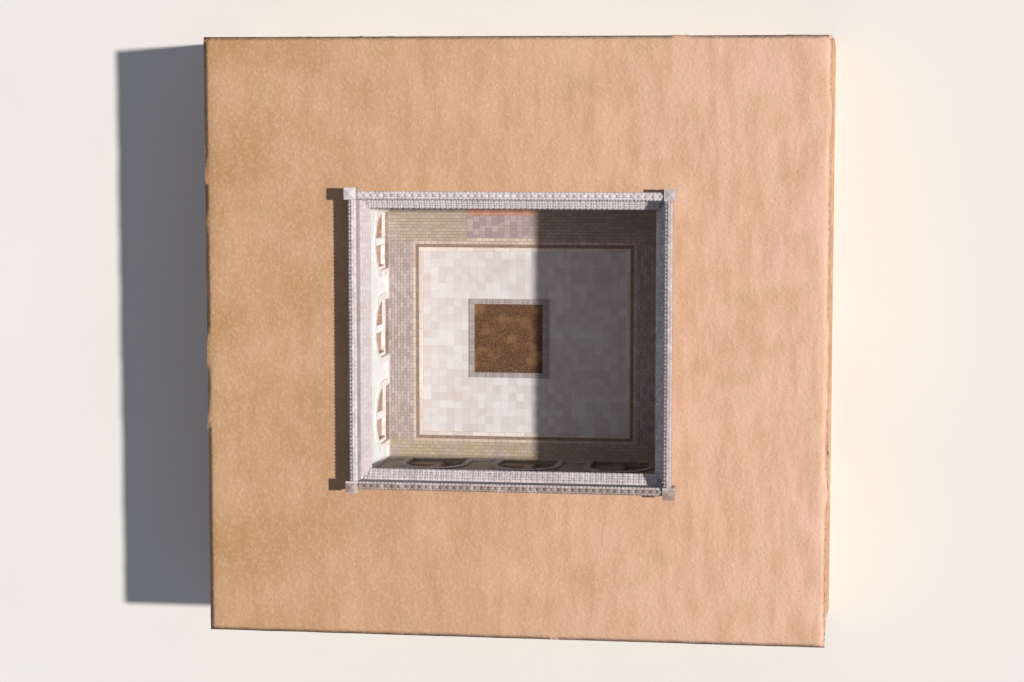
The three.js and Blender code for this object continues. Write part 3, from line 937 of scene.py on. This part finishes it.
# Timber of a front: ends are housed in their neighbours, and faces stand shy of them
HOUSED = 0.002
SHY = 0.003
POST = 0.045
HEAD = 0.06
FRAME_INSET = 0.05
REBATE = 0.035
LATTICE_INSET = 0.09
LATTICE_HALF = 0.03
BAR = 0.018
BAR_DEPTH = 0.024
PAPER_EDGE = 0.01
PAPER_THICK = 0.004
SILL = 0.05
SILL_PROUD = 0.03
SILL_BACK = 0.1
SILL_CHAMFER = 0.006
THRESHOLD_PROUD = 0.012
TIMBER_CHAMFER = 0.005


def add_lattice(bm, box, columns, rows, rail):
    """Rails round a grid of bars, with paper behind them, in an opening of (left, right, bottom, top)."""
    left, right, bottom, top = box
    middle = LINING_DEPTH + LATTICE_INSET
    near, far = middle - LATTICE_HALF, middle + LATTICE_HALF
    add_block(bm, (left, near, bottom), (left + rail, far, top), CHAMFER)
    add_block(bm, (right - rail, near, bottom), (right, far, top), CHAMFER)
    for low in (bottom, top - rail):
        add_block(bm, (left + rail - HOUSED, near + SHY, low),
                  (right - rail + HOUSED, far - SHY, low + rail), CHAMFER)
    deep = BAR_DEPTH / 2
    shallow = deep - HAIR
    for i in range(1, columns):
        x = left + (right - left) * i / columns
        add_block(bm, (x - BAR / 2, middle - deep, bottom), (x + BAR / 2, middle + deep, top))
    for i in range(1, rows):
        z = bottom + (top - bottom) * i / rows
        add_block(bm, (left, middle - shallow, z - BAR / 2), (right, middle + shallow, z + BAR / 2))
    add_block(bm, (left + PAPER_EDGE, middle + deep, bottom + PAPER_EDGE),
              (right - PAPER_EDGE, middle + deep + PAPER_THICK, top - PAPER_EDGE), material=1)


def joinery_unit():
    """Timber of one front: door frame, threshold, window and vent lattices, with a sill."""
    bm = bmesh.new()
    left, right, bottom, top = DOORWAY
    front = LINING_DEPTH + FRAME_INSET
    back = LINING_DEPTH + FRONT_THICK - PIVOT_INSET - REBATE
    for x0, x1 in ((left - HOUSED, left + POST), (right - POST, right + HOUSED)):
        add_block(bm, (x0, front, bottom), (x1, back, top), TIMBER_CHAMFER)
    add_block(bm, (left + POST - HOUSED, front + SHY, top - HEAD),
              (right - POST + HOUSED, back - SHY, top + HOUSED), TIMBER_CHAMFER)
    add_block(bm, (left, LINING_DEPTH - THRESHOLD_PROUD, 2 * HAIR),
              (right, LINING_DEPTH + FRONT_THICK, bottom - HAIR), SILL_CHAMFER)
    add_lattice(bm, WINDOW, 6, 7, rail=0.05)
    add_lattice(bm, VENT, 6, 3, rail=0.04)
    left, right, bottom, _ = WINDOW
    add_block(bm, (left - SILL, LINING_DEPTH - SILL_PROUD, bottom - SILL),
              (right + SILL, LINING_DEPTH + SILL_BACK, bottom + SHY), SILL_CHAMFER)
    return mesh_from("joinery_unit", bm)


# Door leaf: its boards from front to back of the pivot line, its ledges' heights and its iron
DOOR_CLEAR = 0.008
BOARDS = 5
BOARD_GAP = 0.003
LEAF_FRONT = -0.022
LEAF_BACK = 0.014
STILE = (0.002, 0.05)
STILE_BACK = 0.022
STILE_CHAMFER = 0.003
PIVOT_ALONG = 0.033
PIVOT_RADIUS = 0.025
PIN_RADIUS = 0.018
LEDGES = (0.25, 0.95, 1.65)
LEDGE_HALF = 0.045
LEDGE_START = 0.09
LEDGE_STOP = 0.02
LEDGE_BACK = 0.034
STUD_RADIUS = 0.011
PLATE_RADIUS = 0.035
PLATE_THICK = 0.008
RING_RADIUS = 0.035
RING_WIRE = 0.005
RING_HANG = 0.03
PULL_HEIGHT = 1.15
PULL_INSET = 0.09
PULL_FRONT = -0.03


def add_round(bm, low, high, radius, segments):
    """Adds an upright round post on the pivot line to a bmesh."""
    bmesh.ops.create_cone(bm, cap_ends=True, segments=segments, radius1=radius, radius2=radius,
                          depth=high - low, matrix=Matrix.Translation((0, 0, (low + high) / 2)))


def add_pull(bm, place):
    """Adds a ring pull on its round plate to a bmesh."""
    plate = Matrix.Translation(place + Vector((0, PLATE_THICK / 2, 0)))
    plate = plate @ Matrix.Rotation(math.pi / 2, 4, "X")
    bmesh.ops.create_cone(bm, cap_ends=True, segments=12, radius1=PLATE_RADIUS, radius2=PLATE_RADIUS - 0.005,
                          depth=PLATE_THICK, matrix=plate)
    hung = place + Vector((0, -2 * HAIR, -RING_HANG))
    start = Matrix.Translation(hung + Vector((RING_RADIUS, 0, 0)))
    circle = bmesh.ops.create_circle(bm, cap_ends=True, segments=6, radius=RING_WIRE, matrix=start)["verts"]
    face = next(f for f in circle[0].link_faces if all(v in circle for v in f.verts))
    bmesh.ops.spin(bm, geom=[face, *face.edges, *face.verts], cent=hung, axis=(0, 1, 0), angle=2 * math.pi,
                   steps=16, use_merge=True, use_duplicate=False)


def door_unit():
    """Plank leaf about its pivot line: five boards, three ledges behind, ring pulls and studs."""
    low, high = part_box("door_north_2")
    floor = TERRACE + DOORWAY[2]
    bottom, top = floor + DOOR_CLEAR, TERRACE + DOORWAY[3] - DOOR_CLEAR
    width = high.x - low.x - PIVOT_RADIUS
    behind = LEAF_BACK - HAIR / 2
    bm = bmesh.new()
    for i in range(BOARDS):
        x0, x1 = width * i / BOARDS + BOARD_GAP / 2, width * (i + 1) / BOARDS - BOARD_GAP / 2
        add_block(bm, (x0, LEAF_FRONT, bottom), (x1, LEAF_BACK, top), CHAMFER)
    for level in LEDGES:
        z = floor + level
        add_block(bm, (LEDGE_START, behind, z - LEDGE_HALF),
                  (width - LEDGE_STOP, LEDGE_BACK, z + LEDGE_HALF), TIMBER_CHAMFER)
    add_block(bm, (STILE[0], behind, bottom), (STILE[1], STILE_BACK, top), STILE_CHAMFER)
    add_round(bm, bottom, top, PIVOT_RADIUS, 16)
    add_round(bm, low.z, high.z, PIN_RADIUS, 12)
    wood = set(bm.faces)
    for level in LEDGES:
        for i in range(2 * BOARDS):
            along = width * (i + 0.5) / (2 * BOARDS)
            stud = Matrix.Translation((along, LEAF_FRONT - 2 * HAIR, floor + level))
            bmesh.ops.create_icosphere(bm, subdivisions=1, radius=STUD_RADIUS, matrix=stud)
    add_pull(bm, Vector((width - PULL_INSET, PULL_FRONT, TERRACE + PULL_HEIGHT)))
    for extra in bm.faces:
        if extra not in wood:
            extra.material_index = 1
    return mesh_from("door_unit", bm)


def tone_all(made, value):
    """Gives a single piece the tone that fired clay reads."""
    tone = made.data.attributes.new("tone", "FLOAT", "POINT")
    tone.data.foreach_set("value", [value] * len(made.data.vertices))


def placed(name, unit, matrix, *surfaces):
    mesh = unit.copy()
    mesh.name = name
    mesh.transform(matrix)
    for surface in surfaces:
        mesh.materials.append(surface)
    return mesh


def make_fronts():
    joinery, door = joinery_unit(), door_unit()
    pivot = DOORWAY[0] + PIVOT_ALONG
    hung = LINING_DEPTH + FRONT_THICK - PIVOT_INSET
    for side in SIDES:
        for number, middle in side.fronts():
            tag = f"{side.name}_{number}"
            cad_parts[f"front_{tag}"].data.materials[0] = FACADES[side.name]
            mesh = placed(f"joinery_{tag}", joinery, side.at(middle, 0, TERRACE), FRAME_WOOD, PAPER)
            piece(f"joinery_{tag}", mesh)
            leaf = placed(f"door_leaf_{tag}", door, side.at(middle + pivot, hung, 0), DOOR_WOOD, IRON)
            piece(f"door_leaf_{tag}", leaf, f"{side.name}_door_{number}", [f"door_{tag}"])


# Court floor

PAVING_PROUD = 0.006
PAVING_STRAY = 0.002
LANDING = (-2.55, 0.15)
LANDING_TILE = Vector((0.24, 0.24, 0.053))
APRON_DEPTH = 0.88
APRON_TILE = Vector((0.3, 0.3, 0.053))
GUTTER = 0.12
EDGING = BRICK.y + JOINT
LANDING_EDGING = 2 * EDGING


def turned(place, upright):
    """A place on the floor, turned a quarter where what lies there runs north."""
    base = Matrix.Translation(place)
    return base @ Matrix.Rotation(math.pi / 2, 4, "Z") if upright else base


def paved(places, along, across, upright, unit=BRICK):
    """Adds running bond over a patch of floor. The rows run east, or north where upright."""
    (start, stop), (low, high) = along, across
    rows = round((high - low) / (unit.y + JOINT))
    step = (high - low) / rows
    for row in range(rows):
        middle = low + (row + 0.5) * step
        for place, length in bond(start, stop, 0.5 * (row % 2), unit.x):
            x, y = (middle, place) if upright else (place, middle)
            top = TERRACE + PAVING_PROUD + random.uniform(-PAVING_STRAY, PAVING_STRAY)
            base = turned((x, y, top - BRICK.z / 2), upright)
            places.append(brick_place(base, (length, step - JOINT, BRICK.z)))


def make_walk():
    """Flat bricks on the walk, with a landing of purplish brick before the middle north room.

    A course of paler bricks edges it, two courses before the landing, and a gutter parts it from the kerb.
    """
    west, east = KERB_LOW.x - GUTTER, KERB_HIGH.x + GUTTER
    south, north = KERB_LOW.y - GUTTER, KERB_HIGH.y + GUTTER
    far_west, far_east, far_south, far_north = west - EDGING, east + EDGING, south - EDGING, north + EDGING
    apron_south = COURT_Y - APRON_DEPTH
    bricks, edging, landing, apron = [], [], [], []
    for run in ((-COURT_X, LANDING[0]), (LANDING[1], COURT_X)):
        paved(bricks, run, (far_north, COURT_Y), False)
    paved(bricks, (-COURT_X, COURT_X), (-COURT_Y, far_south), False)
    paved(bricks, (far_south, far_north), (-COURT_X, far_west), True)
    paved(bricks, (far_south, far_north), (far_east, COURT_X), True)
    for run in ((far_west, LANDING[0]), (LANDING[1], far_east)):
        paved(edging, run, (north, far_north), False)
    paved(edging, LANDING, (north, north + LANDING_EDGING), False)
    paved(edging, (far_west, far_east), (far_south, south), False)
    paved(edging, (south, north), (far_west, west), True)
    paved(edging, (south, north), (east, far_east), True)
    paved(landing, (north + LANDING_EDGING, apron_south), LANDING, True, LANDING_TILE)
    paved(apron, LANDING, (apron_south, COURT_Y), False, APRON_TILE)
    lay("walk_bricks", BRICK_UNIT, bricks, WALK_BRICK)
    lay("edging_bricks", BRICK_UNIT, edging, EDGING_BRICK)
    lay("landing_bricks", BRICK_UNIT, landing, LANDING_BRICK)
    lay("clay_apron", BRICK_UNIT, apron, CLAY_APRON)


YARD = (KERB_LOW.x + KERB_WIDTH, KERB_HIGH.x - KERB_WIDTH, KERB_LOW.y + KERB_WIDTH, KERB_HIGH.y - KERB_WIDTH)
KERB_LENGTH = 0.7
KERB_SHORTEST = 0.55
KERB_LONGEST = 0.85
KERB_LAST = 1.1
KERB_JOINT = 0.006
KERB_CHAMFER = 0.012


def make_kerb():
    """Kerb stones round the yard, of uneven lengths."""
    size = Vector((KERB_LENGTH, KERB_WIDTH, KERB_HIGH.z - KERB_LOW.z))
    unit = block_unit("kerb_unit", size, KERB_CHAMFER)
    west, east, south, north = YARD
    half = KERB_WIDTH / 2
    runs = (
        (west - KERB_WIDTH, east, north + half, False), (west, east + KERB_WIDTH, south - half, False),
        (south - KERB_WIDTH, north, west - half, True), (south, north + KERB_WIDTH, east + half, True),
    )
    places = []
    for start, stop, across, upright in runs:
        cuts = [start]
        while stop - cuts[-1] > KERB_LAST:
            cuts.append(cuts[-1] + random.uniform(KERB_SHORTEST, KERB_LONGEST))
        cuts.append(stop)
        for left, right in zip(cuts, cuts[1:]):
            centre = (left + right) / 2
            x, y = (across, centre) if upright else (centre, across)
            base = turned((x, y, (KERB_LOW.z + KERB_HIGH.z) / 2), upright)
            places.append(base @ Matrix.Diagonal(((right - left - KERB_JOINT) / KERB_LENGTH, 1, 1, 1)))
    lay("kerb_stones", unit, places, KERB_STONE, stands_for=["court_kerb"])


# Yard tiles as (columns, rows) that fill the yard, and those left out for the bed
YARD_TILE_SIZE = 0.3
YARD_TILE_THICK = 0.04
YARD_TILE_GAP = 0.008
YARD_TILE_TILT = 0.006
# Range of the tiles' middles under the yard's level
YARD_TILE_SINK = (-0.014, -0.011)
YARD_TILES = [round((high - low) / (YARD_TILE_SIZE + YARD_TILE_GAP)) for low, high in (YARD[:2], YARD[2:])]
YARD_PITCH = (YARD[1] - YARD[0]) / YARD_TILES[0], (YARD[3] - YARD[2]) / YARD_TILES[1]
BED_TILES = range(6, 16), range(7, 17)
BED_BORDER = 0.2
BORDER_SPACING = 0.065
BORDER_BRICK = (BED_BORDER, 0.055, BRICK.y)
BORDER_LEAN = 0.03
BORDER_RISE = 0.012
SOIL_CELLS = 60
SOIL_RISE = 0.045
SOIL_THICK = 0.06
SOIL_RELIEF = 0.016


def make_yard():
    """Square clay tiles over the sunk yard."""
    size = YARD_TILE_SIZE
    unit = block_unit("yard_unit", Vector((size, size, YARD_TILE_THICK)), CHAMFER)
    shape = Matrix.Diagonal([(pitch - YARD_TILE_GAP) / size for pitch in YARD_PITCH] + [1, 1])
    places = []
    for i in range(YARD_TILES[0]):
        for j in range(YARD_TILES[1]):
            if i in BED_TILES[0] and j in BED_TILES[1]:
                continue
            tilt = Matrix.Rotation(random.uniform(-YARD_TILE_TILT, YARD_TILE_TILT), 4, "X")
            x, y = YARD[0] + (i + 0.5) * YARD_PITCH[0], YARD[2] + (j + 0.5) * YARD_PITCH[1]
            base = Matrix.Translation((x, y, YARD_LEVEL + random.uniform(*YARD_TILE_SINK)))
            places.append(base @ tilt @ shape)
    lay("yard_tiles", unit, places, YARD_TILE)


def make_bed():
    """Bed of bare soil with a border of bricks on edge."""
    half = BED_BORDER / 2
    west, east = (YARD[0] + edge * YARD_PITCH[0] for edge in (BED_TILES[0].start, BED_TILES[0].stop))
    south, north = (YARD[2] + edge * YARD_PITCH[1] for edge in (BED_TILES[1].start, BED_TILES[1].stop))
    runs = ((west, east, south + half, False), (west, east, north - half, False),
            (south + BED_BORDER, north - BED_BORDER, west + half, True),
            (south + BED_BORDER, north - BED_BORDER, east - half, True))
    border = []
    for start, stop, across, upright in runs:
        count = round((stop - start) / BORDER_SPACING)
        for i in range(count):
            along = start + (i + 0.5) * (stop - start) / count
            x, y = (across, along) if upright else (along, across)
            base = turned((x, y, YARD_LEVEL + BORDER_RISE), not upright)
            lean = Matrix.Rotation(random.uniform(-BORDER_LEAN, BORDER_LEAN), 4, "X")
            border.append(brick_place(base @ lean, BORDER_BRICK))
    lay("bed_border", BRICK_UNIT, border, WALK_BRICK)

    bm = bmesh.new()
    bmesh.ops.create_grid(bm, x_segments=SOIL_CELLS, y_segments=SOIL_CELLS, size=0.5)
    bmesh.ops.scale(bm, vec=(east - west - BED_BORDER, north - south - BED_BORDER, 1), verts=bm.verts)
    middle = (west + east) / 2, (south + north) / 2, YARD_LEVEL + SOIL_RISE
    bmesh.ops.translate(bm, vec=middle, verts=bm.verts)
    for vert in bm.verts:
        vert.co.z += SOIL_RELIEF * noise.fractal(vert.co * 3.0, 0.8, 2.2, 5)
    bmesh.ops.solidify(bm, geom=bm.faces[:], thickness=SOIL_THICK)
    bmesh.ops.recalc_face_normals(bm, faces=bm.faces)
    piece("bed_soil", mesh_from("bed_soil", bm, SOIL))


# Earth

FACE_CELL = 0.1
GROUND_CELL = 0.2
FACADE_CELL = 0.3
PASSAGE_MIDDLE = -EW_BAY
TOUCH = 1e-3
CELL_CLEAR = 0.02
COURT_CLEAR = 0.01
FLAT_ANGLE = math.radians(0.5)
SHARP_ANGLE = math.radians(40)

# What a face of the earth shows, in the order of the surfaces of a piece
ROOM, CUT, TOP, FACADE, BED, FLOOR = range(6)


def fade(value, low, high):
    """Smooth step from 0 at low to 1 at high, also where low is the larger."""
    share = min(max((value - low) / (high - low), 0.0), 1.0)
    return share * share * (3 - 2 * share)


def worn_back(point):
    """How far the cut outer face has weathered back: upright slabs, ledges, spade marks, a rounded crest."""
    x, y, z = point
    broad = noise.fractal(point * 0.35, 0.9, 2.1, 4)
    sway = 0.35 * noise.noise(point * 0.5)
    slab = fade(noise.noise(Vector((x * 0.9 + sway, y * 0.9 + sway, z * 0.22))), -0.15, 0.1)
    ledge = fade(noise.noise(Vector((x * 0.16, y * 0.16, (z + sway) * 1.25 + 3.0))), -0.06, 0.06)
    spade = abs(noise.noise(Vector((x * 2.2, y * 2.2, z * 1.7))))
    rough = noise.fractal(point * 1.6, 0.9, 2.1, 4)
    crest = fade(z, GROUND - 0.45, GROUND) * (0.75 + 0.5 * noise.noise(point * 0.7))
    corner = fade(min(EARTH_X - abs(x), 1.0) + min(EARTH_Y - abs(y), 1.0), 0.4, 0.0)
    depth = 0.045 + 0.055 * slab + 0.06 * ledge + 0.045 * broad + 0.05 * spade + 0.02 * rough
    return max(0.0, fade(z, 0.0, 0.35) * depth + 0.08 * crest * crest + 0.06 * corner)


def worn_down(point):
    """How far the ground lies below its level, fading to nothing at the rim."""
    clear = max(abs(point.x) - COURT_X - RIM_BACK, abs(point.y) - COURT_Y - RIM_BACK)
    flat = Vector((point.x, point.y, 0))
    swell = 0.02 + 0.02 * noise.fractal(flat * 0.5, 0.9, 2.1, 4) + 0.004 * noise.noise(flat * 5)
    edge = min(EARTH_X - abs(point.x), EARTH_Y - abs(point.y))
    uneven = 0.8 + 0.5 * noise.noise(flat * 0.8) + 0.2 * noise.noise(flat * 2.5)
    crumble = 0.09 * fade(-edge, -0.4, 0.0) * uneven
    return max(0.0, swell) * fade(clear, 0.15, 1.2) + max(0.0, crumble)


def earth_face(face):
    """What a face of the earth shows, before the floors are told apart."""
    centre, normal = face.calc_center_median(), face.normal
    if normal.z > 0.9 and centre.z > GROUND - TOUCH:
        return TOP
    if (EARTH_X - abs(centre.x) < TOUCH and abs(normal.x) > 0.9) or \
            (EARTH_Y - abs(centre.y) < TOUCH and abs(normal.y) > 0.9):
        return CUT
    inside = abs(centre.x) < COURT_X + 2 * TOUCH and abs(centre.y) < COURT_Y + 2 * TOUCH
    return FACADE if inside and abs(normal.z) < 0.1 and centre.z > TERRACE + TOUCH else ROOM


def cut_grid(bm, kind, axis, low, high, cell):
    """Cuts the faces of one kind by planes across one axis, at whole multiples of a cell."""
    faces = [face for face in bm.faces if earth_face(face) == kind]
    geometry = list({*faces, *(e for f in faces for e in f.edges), *(v for f in faces for v in f.verts)})
    normal = Vector((axis == X, axis == Y, axis == Z))
    for i in range(math.ceil((low + CELL_CLEAR) / cell), math.floor((high - CELL_CLEAR) / cell) + 1):
        place = normal * i * cell
        cut = bmesh.ops.bisect_plane(bm, geom=geometry, dist=1e-5, plane_co=place, plane_no=normal)
        geometry = cut["geom"]


def earth_piece(name, facade):
    """Weathered copy of one earth node: gridded outer faces, moved back by erosion."""
    bm = bmesh.new()
    bm.from_mesh(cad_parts[name].data)
    bmesh.ops.remove_doubles(bm, verts=bm.verts, dist=5e-5)
    bmesh.ops.dissolve_limit(bm, angle_limit=FLAT_ANGLE, verts=bm.verts, edges=bm.edges)
    low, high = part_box(name)
    for axis, reach in ((X, COURT_X), (Y, COURT_Y)):
        normal = Vector((axis == X, axis == Y, 0))
        for place in (-reach, reach):
            if low[axis] + COURT_CLEAR < place < high[axis] - COURT_CLEAR:
                bmesh.ops.bisect_plane(bm, geom=[*bm.verts, *bm.edges, *bm.faces], dist=1e-5,
                                       plane_co=normal * place, plane_no=normal)
    for kind, cell in ((CUT, FACE_CELL), (TOP, GROUND_CELL), (FACADE, FACADE_CELL)):
        for axis in (X, Y, Z):
            cut_grid(bm, kind, axis, low[axis], high[axis], cell)
    for face in bm.faces:
        kind, centre = earth_face(face), face.calc_center_median()
        face.smooth = kind in (CUT, TOP)
        if name == "terrace" and kind == ROOM and face.normal.z > 0.9:
            kind = BED if abs(centre.x) < COURT_X and abs(centre.y) < COURT_Y else FLOOR
        elif kind == ROOM and centre.x > COURT_X and abs(centre.y - PASSAGE_MIDDLE) < ROOM_HALF + 0.01:
            kind = CUT
        face.material_index = kind
    for edge in bm.edges:
        edge.smooth = len(edge.link_faces) == 2 and edge.calc_face_angle(math.pi) < SHARP_ANGLE
    for vert in bm.verts:
        rest = vert.co.copy()
        if EARTH_X - abs(rest.x) < TOUCH:
            vert.co.x -= math.copysign(worn_back(rest), rest.x)
        if EARTH_Y - abs(rest.y) < TOUCH:
            vert.co.y -= math.copysign(worn_back(rest), rest.y)
        if rest.z > GROUND - TOUCH:
            vert.co.z -= worn_down(rest)
    surfaces = [ROOM_LIME, EARTH_CUT, EARTH_TOP, facade, PAVING_BED, ROOM_FLOOR]
    piece(f"earth_{name}", mesh_from(f"earth_{name}", bm, *surfaces), stands_for=[name])


def make_earth():
    for side in SIDES:
        facade = FACADES[side.name]
        earth_piece(f"walls_{side.name}", facade)
        earth_piece(f"vault_{side.name}", facade)
    for name in ("passage_wall", "terrace"):
        earth_piece(name, CLAY)
    earth_piece("base", PAVING_BED)


# Floor, light and camera

STUDIO_HALF = 300
FILL_STRENGTH = 0.27
SUN_STRENGTH = 3.8
SUN_WIDTH = math.radians(2)
SUN_HEIGHT = math.radians(48.6)
SUN_NORTH_OF_EAST = math.radians(4)


def make_stage():
    bm = bmesh.new()
    bmesh.ops.create_grid(bm, x_segments=1, y_segments=1, size=STUDIO_HALF)
    floor = bpy.data.objects.new("studio_floor", mesh_from("studio_floor", bm, STUDIO_FLOOR))
    bpy.context.scene.collection.objects.link(floor)

    world = bpy.data.worlds.new("studio")
    bpy.context.scene.world = world
    world.use_nodes = True
    fill = world.node_tree.nodes["Background"]
    fill.inputs["Color"].default_value = linear("#D8E4FA")
    fill.inputs["Strength"].default_value = FILL_STRENGTH

    key = bpy.data.lights.new("key", "SUN")
    key.energy = SUN_STRENGTH
    key.angle = SUN_WIDTH
    key.color = linear("#FFFAF3")[:3]
    lamp = bpy.data.objects.new("key", key)
    lamp.rotation_euler = (0, math.pi / 2 - SUN_HEIGHT, SUN_NORTH_OF_EAST)
    bpy.context.scene.collection.objects.link(lamp)
    bpy.context.scene.view_settings.view_transform = "Standard"


# Camera over the coping, as the photograph was taken, with the earth filling the picture but for a margin
CAMERA_PLACE = Vector((12.38, 8.81, COPING_TOP + 88.0))
PICTURE = (1024, 682)
MARGIN = 1.12
SENSOR = 36


def make_camera():
    """Looks down as the photograph does, with north up, from the same direction and distance."""
    target = Vector((0, 0, GROUND))
    back = (CAMERA_PLACE - target).normalized()
    up = Vector((0, 1, 0))
    up = (up - up.dot(back) * back).normalized()
    across = up.cross(back)
    data = bpy.data.cameras.new("camera")
    data.sensor_width = SENSOR
    frame_height = SENSOR * PICTURE[1] / PICTURE[0]
    data.lens = frame_height * (CAMERA_PLACE - target).length / (2 * EARTH_Y * MARGIN)
    data.clip_end = 500
    camera = bpy.data.objects.new("camera", data)
    facing = Matrix((across, up, back)).transposed().to_4x4()
    camera.matrix_world = Matrix.Translation(CAMERA_PLACE) @ facing
    bpy.context.scene.collection.objects.link(camera)
    bpy.context.scene.camera = camera


make_camera()
make_eaves()
make_parapets()
make_copings()
make_piers()
make_arches()
make_fronts()
make_walk()
make_kerb()
make_yard()
make_bed()
make_earth()
make_stage()

bpy.context.view_layer.update()
